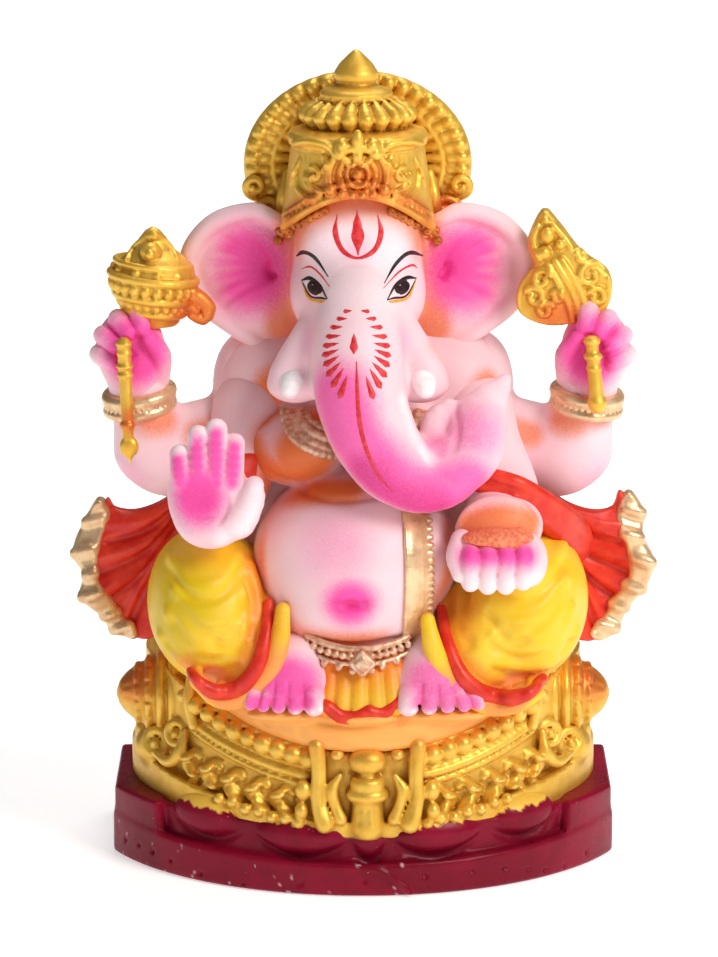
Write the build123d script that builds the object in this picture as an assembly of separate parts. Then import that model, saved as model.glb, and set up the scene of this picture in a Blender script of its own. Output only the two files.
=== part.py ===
"""A seated elephant-headed devotional figure on a throne and plinth, cast in separate pieces that are luted together.

Millimetres. +Z is up, the figure faces -Y, and the origin is at the middle of the base's underside.
Left and right are the figure's own: its right side is at -X.
Every piece is a closed solid. Each one is cut to the faces of the pieces it is luted to, so nothing overlaps.
"""

from build123d import *
from math import cos, pi, radians, sin
import os

# Driving dimensions
HEIGHT = 200.0
WIDTH = 142.0
DEPTH = 80.0
PLINTH_WIDTH = 123.0
PLINTH_HEIGHT = 21.5
PLINTH_COURSE = 16.0
PLINTH_BAND = 8.5
WALL = 7.0
PLINTH_RADIUS = 64.0
THRONE_RADIUS = 55.0
THRONE_FRONT = -35.0
PAD_RADIUS = 48.0
PAD_FRONT = -37.0
DIP_HALF_WIDTH = 40.0
BEAD_RADIUS = 2.35
CROWN_X = -1.0
CROWN_Y = -5.0
HALO_FACE = 6.5
FACE_X = -1.0

FRONT = -DEPTH / 2
PLINTH_CENTRE_Y = FRONT + PLINTH_RADIUS
THRONE_CENTRE_Y = THRONE_FRONT + THRONE_RADIUS
PAD_CENTRE_Y = PAD_FRONT + PAD_RADIUS


# ---------------------------------------------------------------- shape helpers
def spheroid(centre, across, along, axis="Z", turn=(0, 0, 0)):
    """A ball of one radius across and another along its axis, turned about its own centre.

    Its two halves meet at the girth, and each has a small flat at its end.
    """
    def quarter(angles):
        return Spline(*[(across * cos(radians(a)), along * sin(radians(a))) for a in angles])

    under = quarter((-86, -65, -43, -21, 0))
    over = quarter((0, 21, 43, 65, 86))
    flats = Polyline(over @ 1, (0, (over @ 1).Y), (0, (under @ 0).Y), under @ 0)
    solid = revolve(Plane.XZ * make_face(under + over + flats), Axis.Z)
    lay = {"X": Rot(0, 90, 0), "Y": Rot(-90, 0, 0), "Z": Rot(0, 0, 0)}[axis]
    return Pos(*centre) * Rot(*turn) * lay * solid


def tapered(start, end, start_radius, end_radius):
    """A finger-like bar between two points, with a rounded end at each."""
    way = Vector(*end) - Vector(*start)
    reach = way.length
    low, high = start_radius, end_radius
    under = ThreePointArc((low * 0.3, -low * 0.95), (low * 0.75, -low * 0.66), (low, 0))
    over = ThreePointArc((high, reach), (high * 0.75, reach + high * 0.66), (high * 0.3, reach + high * 0.95))
    flats = Polyline(over @ 1, (0, (over @ 1).Y), (0, (under @ 0).Y), under @ 0)
    bar = revolve(Plane.XZ * make_face(under + Line(under @ 1, over @ 0) + over + flats), Axis.Z)
    return Plane(origin=start, z_dir=way).location * bar


def limb(points, sizes, blunt=0.62):
    """A smooth round limb through points, a radius at each, with rounded-off ends."""
    line = Spline(*points)
    places = [line.param_at_point(p) for p in points]
    spots = [Vector(*p) for p in points]
    ways = [line % t for t in places]
    first, last = sizes[0], sizes[-1]
    spots = [spots[0] - ways[0] * first * 0.8] + spots + [spots[-1] + ways[-1] * last * 0.8]
    ways = [ways[0]] + ways + [ways[-1]]
    sizes = [first * blunt] + list(sizes) + [last * blunt]
    sections = []
    for spot, way, size in zip(spots, ways, sizes):
        level = way.cross(Vector(0.2, 1, 0.35))
        sections.append(Plane(origin=spot, x_dir=level, z_dir=way) * Circle(size))
    return loft(sections)


def tube(points, radius):
    """A round bar along a smooth line."""
    line = Spline(*points)
    section = Plane(origin=line @ 0, z_dir=line % 0) * Circle(radius)
    return sweep(section, path=line)


def fused(shapes):
    whole = shapes[0]
    for shape in shapes[1:]:
        whole = whole + shape
    return whole


def plate(points, thickness, y_middle):
    """A flat plate in the XZ plane, with its outline as a closed smooth curve."""
    face = make_face(Spline(*points, periodic=True))
    return Pos(0, y_middle, 0) * extrude(Plane.XZ * face, thickness / 2, both=True)


def turned(profile, x, y):
    """A solid turned about a vertical axis from (radius, height) points, with smooth flanks."""
    low, high = profile[0], profile[-1]
    flank = Spline(*profile)
    if high[0] > 0:
        outline = Polyline(high, (0, high[1]), (0, low[1]), low)
    else:
        outline = Polyline(high, (0, low[1]), low)
    return Pos(x, y, 0) * revolve(Plane.XZ * make_face(flank + outline), Axis.Z)


def dip_height(centre_height, rise, x):
    """The throne's bands droop at the front: their height at x, for a rise at DIP_HALF_WIDTH."""
    return centre_height + rise * (x / DIP_HALF_WIDTH) ** 2


def dipped_slab(low, low_rise, high, high_rise, half_width=60.0):
    """A slab with a drooping underside and top, wider than the throne."""
    def arc(height, rise):
        end = dip_height(height, rise, half_width)
        if rise == 0:
            return Line((-half_width, height), (half_width, height))
        return ThreePointArc((-half_width, end), (0, height), (half_width, end))

    under, over = arc(low, low_rise), arc(high, high_rise)
    edges = under + over + Line(under @ 0, over @ 0) + Line(under @ 1, over @ 1)
    return extrude(Plane.XZ * make_face(edges), DEPTH, both=True)


def drum(radius, centre_y, low=0.0, high=60.0):
    """A round plan with a flat back, as a tall block."""
    tall = Pos(0, centre_y, (low + high) / 2) * Cylinder(radius, high - low)
    return tall & Pos(0, -4, (low + high) / 2) * Box(4 * radius, DEPTH, high - low)


def on_throne(angle, out=0.0):
    """The plan point on the throne's face at an angle from straight ahead."""
    reach = THRONE_RADIUS + out
    return reach * sin(radians(angle)), THRONE_CENTRE_Y - reach * cos(radians(angle))


# ---------------------------------------------------------------- base and throne
def plinth():
    """A hollow casting, open below: a low band, a set-back course above it and a block at each front corner."""
    def plan(inset, height):
        disc = Pos(0, PLINTH_CENTRE_Y, 0) * Circle(PLINTH_RADIUS - inset)
        return extrude(disc & Rectangle(PLINTH_WIDTH - 2 * inset, DEPTH - 2 * inset), height)

    between_blocks = Box(94, 2 * DEPTH, 40, align=(Align.CENTER, Align.CENTER, Align.MIN))
    blocks = plan(0, PLINTH_HEIGHT) - Pos(0, 0, PLINTH_COURSE) * between_blocks
    set_back = plan(-5, PLINTH_HEIGHT) - plan(3, PLINTH_HEIGHT)
    front_cut = set_back & Pos(0, -20, PLINTH_BAND + 10) * Box(94, 60, 20)
    inner_round = Pos(0, PLINTH_CENTRE_Y, 0) * Circle(PLINTH_RADIUS - 3 - WALL)
    inner_square = Rectangle(PLINTH_WIDTH - 2 * WALL, DEPTH - 2 * WALL)
    hollow = extrude(inner_round & inner_square, PLINTH_COURSE)
    return blocks - front_cut - hollow


def plinth_lobes():
    """Four lotus-petal lobes along the front of the plinth's upper course."""
    ring = drum(PLINTH_RADIUS - 1.2, PLINTH_CENTRE_Y, PLINTH_BAND, PLINTH_COURSE)
    lobes = []
    for x, reach in ((-36.5, 10.3), (-13.2, 12.6), (13.2, 12.6), (36.5, 10.3)):
        y = PLINTH_CENTRE_Y - (PLINTH_RADIUS - 6) * cos(x / PLINTH_RADIUS)
        slope = -x / PLINTH_RADIUS * 180 / pi
        round_post = Cylinder(1, 7.5, align=(Align.CENTER, Align.CENTER, Align.MIN))
        petal = Pos(x, y, PLINTH_BAND) * Rot(0, 0, -slope) * scale(round_post, by=(reach, 7, 1))
        lobes.append(petal & ring)
    return lobes


def throne_body():
    """The round throne, solid, with a drooping top."""
    return drum(THRONE_RADIUS, THRONE_CENTRE_Y, PLINTH_COURSE, 60) & dipped_slab(0, 0, 35, 9.5)


def seat_pad():
    """The padded seat: a drooping slab with a rounded edge."""
    pad = drum(PAD_RADIUS, PAD_CENTRE_Y) & dipped_slab(35, 9.5, 42.5, 8)
    return pad


def band(low, high, rise, out):
    """A moulding that runs round the throne's front."""
    ring = drum(THRONE_RADIUS + out, THRONE_CENTRE_Y) & dipped_slab(low, rise, high, rise)
    return ring & Pos(0, -30, 30) * Box(108, 80, 80)


def throne_beads():
    beads = []
    for side in (-1, 1):
        for n in range(8):
            x, y = on_throne(side * (15.2 + 5.4 * n))
            beads.append(Pos(x, y, dip_height(31.4, 9.3, x)) * Sphere(BEAD_RADIUS))
    return beads


def throne_scrolls():
    """Curled leaves along the foot of the throne."""
    leaves = []
    for side in (-1, 1):
        for n in range(6):
            angle = side * (17 + 7.6 * n)
            x, y = on_throne(angle)
            leaves.append(spheroid((x, y, dip_height(21.8, 4.5, x)), 3.0, 4.6, "Z", (0, side * 22, angle)))
    return leaves


def throne_crest():
    """The turned ornament at the middle of the throne's front."""
    profile = [(3.4, 16.2), (5.4, 18.5), (3.6, 21.5), (5.8, 25), (3.4, 28.2), (5.2, 31.2), (2.6, 34.6)]
    return turned(profile, 1.0, THRONE_FRONT + 1.8)


def throne_pilasters():
    posts = []
    for side in (-1, 1):
        x, y = 1.0 + side * 11.0, THRONE_FRONT + 1.3
        posts.append(tube([(x - side * 1.2, y, 16.6), (x + side * 0.6, y, 25), (x - side * 0.4, y, 34.2)], 1.9))
    return posts


def bolster(side):
    """The rolled end of the seat: a turned bud that points outwards."""
    profile = [(10.8, 0), (11.0, 3.5), (9.6, 8), (5.5, 13), (0, 15.5)]
    outline = Spline(*profile) + Polyline(profile[-1], (0, 0), profile[0])
    bud = revolve(Plane.XZ * make_face(outline), Axis.Z)
    return Pos(side * 45.2, 4, 38.5) * Rot(0, side * 90, 0) * bud


# ---------------------------------------------------------------- the figure
BELLY = ((0, -13, 80), 24.5, 21)
CHEST = ((-3, -8, 102), 15.5, 21, "X")
HEAD = ((FACE_X, -4, 146), 17.6, 21)


def torso():
    sections = [(44, 30, 20), (60, 33, 23), (82, 34, 22), (105, 36, 16), (124, 33, 12), (136, 20, 9)]
    core = loft([Pos(0, 8, z) * Ellipse(rx, ry) for z, rx, ry in sections])
    return core + spheroid(*BELLY) + spheroid(*CHEST)


def head():
    return spheroid(*HEAD)


def trunk():
    hose = limb(
        [(FACE_X, -14, 139), (-0.5, -25, 128), (1.5, -29.5, 116), (6.5, -31, 105.5), (14, -31, 100), (20, -31, 99.6)],
        [10.5, 9.8, 9.2, 8.7, 8.0, 7.2],
    )
    curl = limb([(21, -30, 101), (24.8, -28.5, 109), (28.5, -25, 116.5), (32.5, -21.5, 123)], [7.4, 7.2, 5.8, 2.4])
    return hose + curl


def ear(side):
    return spheroid((FACE_X + side * 27.6, 0.5, 145.5), 15.6, 4.6, "Y", (0, 0, side * 10))


def tusk(side):
    root = (FACE_X + side * 11.5, -17.5, 128)
    return tapered(root, (FACE_X + side * 17, -22, 120.5), 5.4, 4.4)


def hair_fringe():
    """The band of curls between the brow and the crown."""
    curls = []
    for side in (-1, 1):
        for n in range(5):
            angle = radians(38 + 13 * n)
            along, up = side * 17.6 * sin(angle), 20.2 * cos(angle)
            curls.append(Pos(FACE_X + along, -9 + 1.2 * n, 146 + up) * Sphere(2.5))
    return curls


def crown_band():
    hoop = turned([(18.8, 153), (18.0, 166), (15.2, 179)], CROWN_X, CROWN_Y)
    brow = Pos(CROWN_X, -20, 142.5) * Rot(90, 0, 0) * Cylinder(21.5, 50)
    return hoop - brow


def crown_cornice():
    return turned([(15.6, 179), (16.3, 180.5), (15.2, 182)], CROWN_X, CROWN_Y)


def crown_melon():
    """A fluted ring of lobes round a core."""
    count = 16
    middle = Pos(CROWN_X, CROWN_Y, 184.8)
    lobes = [middle * Rot(0, 0, 360 / count * n) * Pos(9.6, 0, 0) * Sphere(2.9) for n in range(count)]
    core = Pos(CROWN_X, CROWN_Y, 184.8) * Cylinder(9.4, 5.6)
    return fused([core] + lobes)


def crown_finial():
    """A lipped collar with an onion bud on it."""
    collar = turned([(7.6, 187.6), (9.2, 189.4), (7.4, 191.2)], CROWN_X, CROWN_Y)
    bud = turned([(6.2, 191.0), (5.9, 193.2), (3.4, 196.8), (1.2, 199.2), (0, HEIGHT)], CROWN_X, CROWN_Y)
    return collar + bud


def oval(reach_x, reach_z, squareness=2.5, steps=20):
    """Points round a squarish oval about the halo's centre."""
    points = []
    for n in range(steps):
        a = 2 * pi * n / steps
        c, s = cos(a), sin(a)
        grow = (abs(c) ** squareness + abs(s) ** squareness) ** (-1 / squareness)
        points.append((CROWN_X + reach_x * grow * c, 171 + reach_z * grow * s))
    return points


def halo():
    return plate(oval(27.5, 22.6), 5, HALO_FACE + 2.5)


def halo_rail():
    """The raised ring inside the halo's ribbed rim."""
    return plate(oval(21.8, 17.4), 2.4, HALO_FACE - 1.2) - plate(oval(20.2, 15.8), 9, HALO_FACE - 1.2)


def halo_ribs():
    ribs = []
    for n in range(25):
        angle = radians(-35 + 250 * n / 24)
        c, s = cos(angle), sin(angle)
        grow = (abs(c) ** 2.5 + abs(s) ** 2.5) ** (-1 / 2.5)
        x, z = CROWN_X + 24.6 * grow * c, 171 + 19.9 * grow * s
        ribs.append(spheroid((x, 6.3, z), 1.7, 2.5, "X", (0, -angle * 180 / pi, 0)))
    return ribs


def crown_volutes():
    """Curled ends at the crown's lower corners."""
    rolls = []
    for side in (-1, 1):
        for x, z, size in ((22.5, 154.5, 4.6), (24.0, 163.0, 3.2)):
            rolls.append(Pos(CROWN_X + side * x, HALO_FACE - 2.5, z) * Rot(90, 0, 0) * Cylinder(size, 5))
    return rolls


def crown_rosette():
    return Pos(CROWN_X, CROWN_Y - 17.0, 171) * Rot(90, 0, 0) * (Cylinder(4.2, 4) + Pos(0, 0, 1.6) * Sphere(2.6))


def rear_arm(side):
    upper = tapered((side * 29, 6, 104), (side * 46, 1.5, 103), 12.0, 11.0)
    lower = tapered((side * 50, 0, 104), (side * 54.6, -4, 115.5), 9.8, 7.4)
    return upper + lower


def rear_hand(side):
    palm = spheroid((side * 56, -7.5, 127), 7.4, 11.5)
    fingers = [
        tapered(
            (side * (57.5 - n * 1.0), -11, 125 + 4.2 * n),
            (side * (63 - 1.8 * n), -10, 127.5 + 3.9 * n),
            2.7,
            2.4,
        )
        for n in range(3)
    ]
    thumb = tapered((side * 50.5, -9.5, 121), (side * 51.5, -11, 132), 3.2, 2.6)
    return fused([palm, thumb] + fingers)


def bracelet(side):
    return Pos(side * 54.7, -4.6, 116) * Rot(14, -side * 6, 0) * Torus(8.6, 1.7)


def goad_head():
    """The stepped dome that the right rear hand holds up."""
    dome = turned([(6.5, 134.5), (9.8, 139), (10.6, 144.5), (6.2, 150.5), (3.8, 154), (0, 158)], -50, -4.5)
    hook = spheroid((-41.0, -3.5, 141), 3.8, 5.2, "X")
    return dome + hook


def goad_shaft():
    rod = Pos(-57.2, -15.2, 118) * Cylinder(2.5, 22)
    point = Pos(-57.2, -15.2, 104) * Cone(0.4, 2.9, 6)
    return rod + point


def noose_head():
    """The scrolled leaf plate that the left rear hand holds up."""
    right_edge = [(43.5, 162), (49, 156), (56.5, 150), (60, 143), (57, 135.5)]
    left_edge = [(48.5, 133.5), (39, 135.5), (37.6, 141), (41.5, 147)]
    outline = right_edge + left_edge
    return plate(outline, 8.5, -4.5)


def noose_handle():
    grip = Pos(55.4, -15.0, 120.5) * Cylinder(2.0, 13)
    return grip + Pos(55.4, -15.0, 127.5) * Sphere(2.7)


def blessing_arm():
    """The right front arm, bent up behind its open hand."""
    return limb([(-27, -4, 102), (-32, -16, 92), (-36, -28, 92)], [10.5, 9.2, 7.2])


def blessing_hand():
    """The right front hand, open and held up, palm forward."""
    palm = spheroid((-36.3, -34.2, 94.5), 10.6, 4.6, "Y")
    fingers = []
    for n, top in enumerate((108.5, 114.0, 116.6, 113.6)):
        x = -43.6 + 4.9 * n
        fingers.append(tapered((x * 0.93 - 2.5, -34.5, 97), (x, -34.8, top - 2.5), 2.7, 2.4))
    thumb = tapered((-30.5, -34.5, 94), (-26.2, -34.8, 101.5), 3.4, 2.4)
    return fused([palm, thumb] + fingers)


def resting_arm():
    """The left front arm, that comes forward over the knee."""
    return limb([(28, -6, 100), (34.5, -18, 92.5), (34.5, -28, 89)], [10.5, 9.6, 8.4])


def resting_hand():
    """The left front hand, its fingers hanging over the knee."""
    back = spheroid((32.3, -32.5, 83.5), 5.9, 10.8, "X")
    fingers = []
    for n in range(4):
        tip_height = 76.9 if n in (0, 3) else 76.4
        knuckle = (25.2 + 4.9 * n, -35.2, 84.5)
        fingers.append(tapered(knuckle, (25.2 + 4.7 * n, -36.2, tip_height), 2.8, 2.5))
    return fused([back] + fingers)


def sweet():
    return spheroid((32.5, -36.0, 89.0), 2.4, 6.4, "X")


def leg(side):
    """A bent leg in its full trouser: the knee stands out to the side and the shin comes in to the foot."""
    knee = spheroid((side * 38.3, -14.5, 62.5), 17.0, 20.5, "Y")
    shin = spheroid((side * 28, -22, 54.5), 12.0, 14.0, "X", (0, side * 18, 0))
    return knee + shin


def hem(side):
    """The red band that gathers the trouser above the foot."""
    lower_run = [(side * 40.5, -31.5, 49.0), (side * 31, -36.0, 46.8)]
    upper_run = [(side * 23.5, -36.0, 53.5), (side * 21.5, -32.5, 64.0)]
    points = lower_run + upper_run
    return tube(points, 1.9)


def foot(side):
    sole = spheroid((side * 18.6, -28.5, 50.0), 8.6, 9.6, "X", (0, side * 12, 0))
    toes = []
    for n in range(5):
        root = (side * (12.6 + 3.5 * n), -32, 48.0)
        tip = (side * (11.8 + 3.8 * n), -35.6 + 0.35 * n, 45.6)
        toes.append(tapered(root, tip, 2.5 - 0.15 * n, 2.2 - 0.15 * n))
    return fused([sole] + toes)


def pleats():
    """The fall of cloth between the feet."""
    folds = [tapered((-6.8 + 3.4 * n, -30.5, 58), (-7.6 + 3.8 * n, -33.5, 46), 2.3, 2.5) for n in range(5)]
    backing = Pos(0, -28.5, 52) * Box(17, 5, 15)
    return fused([backing] + folds)


def pleat_hem():
    return tube([(-9.6, -35.4, 45.0), (-5, -36.2, 42.9), (0, -36.4, 43.6), (5, -36.2, 43.4), (9.4, -35.4, 45.6)], 1.3)


def waist_belt():
    hoop = Pos(0, -12.5, 62.0) * Rot(-5, 0, 0) * Torus(20.5, 2.0)
    return hoop & Pos(0, -42, 60) * Box(33, 40, 30)


def belt_medallion():
    return Pos(0.3, -36.4, 59.4) * Rot(90, 0, 0) * Cylinder(2.7, 2.6)


def belly_strap():
    """The sash over the belly, as a strip that follows it."""
    over = spheroid(BELLY[0], BELLY[1] + 1.8, BELLY[2] + 1.8)
    return over & Pos(13.4, -30, 79) * Box(6.4, 40, 34)


def necklace():
    over = spheroid(CHEST[0], CHEST[1] + 1.6, CHEST[2] + 1.6, "X")
    collar = Pos(-1, -40, 120) * Rot(90, 0, 0) * (Cylinder(17.5, 60) - Cylinder(10.0, 60))
    return over & collar & Pos(0, -30, 105) * Box(38, 50, 24)


SHAWL = [
    (42, 90), (49, 86), (55.5, 84), (63.5, 88), (67.5, 82), (71, 75),
    (69.6, 66), (63, 57), (57, 52.5), (50, 56), (42, 62),
]
SHAWL_BORDER = [
    (62.2, 88.6), (65.5, 88.2), (69, 82.5), (71, 75), (69.6, 66), (63, 57),
    (57, 52.4), (54, 54.6), (58.5, 60), (63.3, 68), (64.2, 76), (61.2, 83),
]


def shawl(side):
    fan = plate([(side * x, z) for x, z in SHAWL], 5.5, 6.5)
    return fan & Pos(side * 35, 0, 70) * Box(WIDTH - 70, DEPTH, 60)


def shawl_border(side):
    strip = plate([(side * x, z) for x, z in SHAWL_BORDER], 7.0, 6.5)
    return strip & Pos(side * 35, 0, 70) * Box(WIDTH - 70, DEPTH, 60)


def shawl_drape():
    """The shawl's run from the left arm down to its fan."""
    return limb([(30.5, -17.5, 97.5), (41, -9, 92), (49, 0, 84)], [3.4, 5.2, 5.5])


# ---------------------------------------------------------------- assembly
def solids_of(shape):
    """The separate solids of a shape or of a list of shapes, without slivers left by a cut."""
    smallest = 0.15
    members = shape if isinstance(shape, list) else [shape]
    return [s for member in members for s in member.solids() if s.volume > smallest]


def boxes_meet(a, b):
    gap = 0.01
    low_a, high_a, low_b, high_b = (tuple(v) for v in (a.min, a.max, b.min, b.max))
    return all(low_a[k] < high_b[k] + gap and low_b[k] < high_a[k] + gap for k in range(3))


class Assembly:
    """Pieces in the order they are luted on. A new piece is cut to the faces of those already there."""

    def __init__(self):
        self.pieces = {}
        self.boxes = {}

    def add(self, name, shape):
        fitted = []
        for solid in solids_of(shape):
            box = solid.bounding_box()
            near = []
            for other, parts in self.pieces.items():
                near += [s for s, b in zip(parts, self.boxes[other]) if boxes_meet(box, b)]
            left = [solid]
            for neighbour in near:
                left = [s for whole in left for s in solids_of(whole - neighbour)]
            largest = max([s.volume for s in left], default=0)
            fitted += [s for s in left if s.volume > largest / 3]
        self.pieces[name] = fitted
        self.boxes[name] = [s.bounding_box() for s in fitted]

    def write(self, folder):
        os.makedirs(folder, exist_ok=True)
        for name, parts in self.pieces.items():
            export_step(parts[0] if len(parts) == 1 else Compound(children=parts), f"{folder}/{name}.step")


def main():
    idol = Assembly()
    idol.add("plinth", plinth())
    idol.add("plinth_lobes", plinth_lobes())
    idol.add("throne_body", throne_body())
    idol.add("seat_pad", seat_pad())
    idol.add("throne_crest", throne_crest())
    idol.add("throne_pilasters", throne_pilasters())
    idol.add("throne_rail", band(26.6, 28.8, 4.2, 1.6))
    idol.add("throne_beads", throne_beads())
    idol.add("throne_scrolls", throne_scrolls())
    for side, word in ((-1, "right"), (1, "left")):
        idol.add(f"{word}_bolster", bolster(side))
    idol.add("halo", halo())
    idol.add("head", head())
    idol.add("trunk", trunk())
    idol.add("torso", torso())
    idol.add("blessing_hand", blessing_hand())
    idol.add("blessing_arm", blessing_arm())
    idol.add("resting_hand", resting_hand())
    idol.add("resting_arm", resting_arm())
    idol.add("sweet", sweet())
    for side, word in ((-1, "right"), (1, "left")):
        idol.add(f"{word}_leg", leg(side))
        idol.add(f"{word}_foot", foot(side))
        idol.add(f"{word}_hem", hem(side))
        idol.add(f"{word}_tusk", tusk(side))
        idol.add(f"{word}_ear", ear(side))
        idol.add(f"{word}_rear_hand", rear_hand(side))
        idol.add(f"{word}_bracelet", bracelet(side))
        idol.add(f"{word}_rear_arm", rear_arm(side))
    idol.add("waist_belt", waist_belt())
    idol.add("belt_medallion", belt_medallion())
    idol.add("belly_strap", belly_strap())
    idol.add("necklace", necklace())
    idol.add("pleats", pleats())
    idol.add("pleat_hem", pleat_hem())
    idol.add("crown_band", crown_band())
    idol.add("crown_cornice", crown_cornice())
    idol.add("crown_melon", crown_melon())
    idol.add("crown_finial", crown_finial())
    idol.add("crown_rosette", crown_rosette())
    idol.add("halo_rail", halo_rail())
    idol.add("crown_volutes", crown_volutes())
    idol.add("halo_ribs", halo_ribs())
    idol.add("hair_fringe", hair_fringe())
    idol.add("goad_shaft", goad_shaft())
    idol.add("goad_head", goad_head())
    idol.add("noose_handle", noose_handle())
    idol.add("noose_head", noose_head())
    for side, word in ((-1, "right"), (1, "left")):
        idol.add(f"{word}_shawl_border", shawl_border(side))
        idol.add(f"{word}_shawl", shawl(side))
    idol.add("shawl_drape", shawl_drape())
    idol.write("parts")


main()
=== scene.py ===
"""Seated elephant-headed household idol on a gold throne and a maroon plinth.

The figure is modelled the way a clay master is: lumps are laid on, blended and scored on a fine grid of
distances, and each lump is skinned when it is done. Lengths inside the modelling are millimetres.
+Z is up, the figure faces -Y, and its own right side is at -X.
"""
from math import atan2, cos, pi, radians, sin, sqrt

import bpy
import numpy as np
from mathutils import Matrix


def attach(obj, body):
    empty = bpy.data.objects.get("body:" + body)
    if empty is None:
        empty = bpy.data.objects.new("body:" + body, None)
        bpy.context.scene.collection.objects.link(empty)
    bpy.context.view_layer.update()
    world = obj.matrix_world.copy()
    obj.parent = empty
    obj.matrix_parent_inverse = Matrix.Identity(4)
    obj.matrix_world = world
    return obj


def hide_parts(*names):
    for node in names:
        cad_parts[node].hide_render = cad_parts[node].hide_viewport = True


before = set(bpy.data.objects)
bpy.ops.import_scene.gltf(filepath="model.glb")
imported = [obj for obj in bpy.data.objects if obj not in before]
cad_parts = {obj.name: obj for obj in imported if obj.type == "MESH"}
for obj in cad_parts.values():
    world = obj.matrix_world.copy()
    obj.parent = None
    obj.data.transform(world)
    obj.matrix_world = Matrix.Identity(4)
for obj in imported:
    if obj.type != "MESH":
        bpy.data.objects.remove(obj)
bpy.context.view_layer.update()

import openvdb
from bpy.props import FloatProperty, FloatVectorProperty, PointerProperty
from mathutils import Euler, Vector

bl_info = {
    "name": "Shrine Idol",
    "version": (1, 0, 0),
    "blender": (4, 5, 0),
    "location": "3D View > Sidebar > Idol",
    "description": "Builds a painted elephant-headed household idol, piece by piece",
    "category": "Add Mesh",
}

FAR = 7.0  # open air, in the clay's grid
ROOT = "root"
MID = -1.3  # the head and crown sit this far to the figure's own right
FRONT_Y = 27.7  # centre of the plinth's round front, and its two radii
FOOT_R, COURSE_R = 67.6, 64.4
SENSOR = 36  # camera
FRAME_TALL = 957


# ---------------------------------------------------------------- clay: lumps as distance functions
def blob(centre, radii, turn=(0, 0, 0)):
    """An ellipsoid lump."""
    grip = np.array(Euler([radians(a) for a in turn]).to_matrix())
    radii = np.array(radii, float)
    reach = np.sqrt(((grip * radii) ** 2).sum(1))
    centre = np.array(centre, float)

    def distance(x, y, z):
        near = far = 1e-7
        for axis in range(3):
            along = (x - centre[0]) * grip[0, axis] + (y - centre[1]) * grip[1, axis] + (z - centre[2]) * grip[2, axis]
            near = near + (along / radii[axis]) ** 2
            far = far + (along / radii[axis] ** 2) ** 2
        near = np.sqrt(near)
        return near * (near - 1) / np.sqrt(far)

    return [(centre - reach, centre + reach, distance)]


def bar(start, end, thick, thin=None):
    """A round bar that may taper."""
    start, end = np.array(start, float), np.array(end, float)
    thin = thick if thin is None else thin
    way = end - start
    length = max(float(way @ way), 1e-9)

    def distance(x, y, z):
        dx, dy, dz = x - start[0], y - start[1], z - start[2]
        t = np.clip((dx * way[0] + dy * way[1] + dz * way[2]) / length, 0, 1)
        gap = (dx - t * way[0]) ** 2 + (dy - t * way[1]) ** 2 + (dz - t * way[2]) ** 2
        return np.sqrt(gap) - (thick + (thin - thick) * t)

    widest = max(thick, thin)
    return [(np.minimum(start, end) - widest, np.maximum(start, end) + widest, distance)]


def smooth_line(points, sizes=None, spacing=1.2):
    """Points along a curve through the given ones, with their sizes eased between."""
    pts = [np.array(p, float) for p in points]
    given = np.atleast_1d(0.0 if sizes is None else sizes)
    sizes = np.interp(np.linspace(0, 1, len(pts)), np.linspace(0, 1, len(given)), given)
    pts = [2 * pts[0] - pts[1]] + pts + [2 * pts[-1] - pts[-2]]
    out, thick = [], []
    for n in range(1, len(pts) - 2):
        a, b, c, d = pts[n - 1:n + 3]
        steps = max(2, int(np.linalg.norm(c - b) / spacing + 0.5))
        for k in range(steps + (n == len(pts) - 3)):
            t = k / steps
            square, cube = 2 * a - 5 * b + 4 * c - d, 3 * b - a - 3 * c + d
            out.append(0.5 * (2 * b + (c - a) * t + square * t * t + cube * t ** 3))
            ease = t * t * (3 - 2 * t)
            thick.append(sizes[n - 1] + (sizes[n] - sizes[n - 1]) * ease)
    return out, thick


def rope(points, sizes, spacing=1.6):
    """A round roll of clay along a smooth curve."""
    line, thick = smooth_line(points, sizes, spacing)
    lumps = []
    for a, b, ra, rb in zip(line[:-1], line[1:], thick[:-1], thick[1:]):
        lumps += bar(a, b, max(ra, 0.05), max(rb, 0.05))
    return lumps


def slab(centre, half, edge=0.5, turn=(0, 0, 0)):
    """A block with rounded edges."""
    grip = np.array(Euler([radians(a) for a in turn]).to_matrix())
    half = np.array(half, float)
    centre = np.array(centre, float)
    reach = np.abs(grip) @ half

    def distance(x, y, z):
        outside, inside = 0, -1e9
        for axis in range(3):
            along = (x - centre[0]) * grip[0, axis] + (y - centre[1]) * grip[1, axis] + (z - centre[2]) * grip[2, axis]
            over = np.abs(along) - half[axis] + edge
            outside = outside + np.maximum(over, 0) ** 2
            inside = np.maximum(inside, over)
        return np.sqrt(outside) + np.minimum(inside, 0) - edge

    return [(centre - reach, centre + reach, distance)]


def hoop(centre, radius, thick, turn=(0, 0, 0)):
    """A round ring about its own Z."""
    steps = max(16, int(radius * 4))
    grip = Euler([radians(a) for a in turn]).to_matrix()
    spots = []
    for n in range(steps + 1):
        a = 2 * pi * n / steps
        spots.append(Vector(centre) + grip @ Vector((radius * cos(a), radius * sin(a), 0)))
    lumps = []
    for a, b in zip(spots[:-1], spots[1:]):
        lumps += bar(a, b, thick)
    return lumps


def lathe(profile, x, y):
    """A turned lump from (radius, height) points."""
    heights = np.array([h for r, h in profile], float)
    radii = np.array([r for r, h in profile], float)

    def distance(gx, gy, gz):
        across = np.sqrt((gx - x) ** 2 + (gy - y) ** 2)
        wide = np.interp(np.asarray(gz).ravel(), heights, radii).reshape(np.shape(gz))
        caps = np.maximum(heights[0] - gz, gz - heights[-1])
        return np.maximum(across - wide, caps)

    reach = radii.max()
    low, high = np.array((x - reach, y - reach, heights[0])), np.array((x + reach, y + reach, heights[-1]))
    return [(low, high, distance)]


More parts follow.
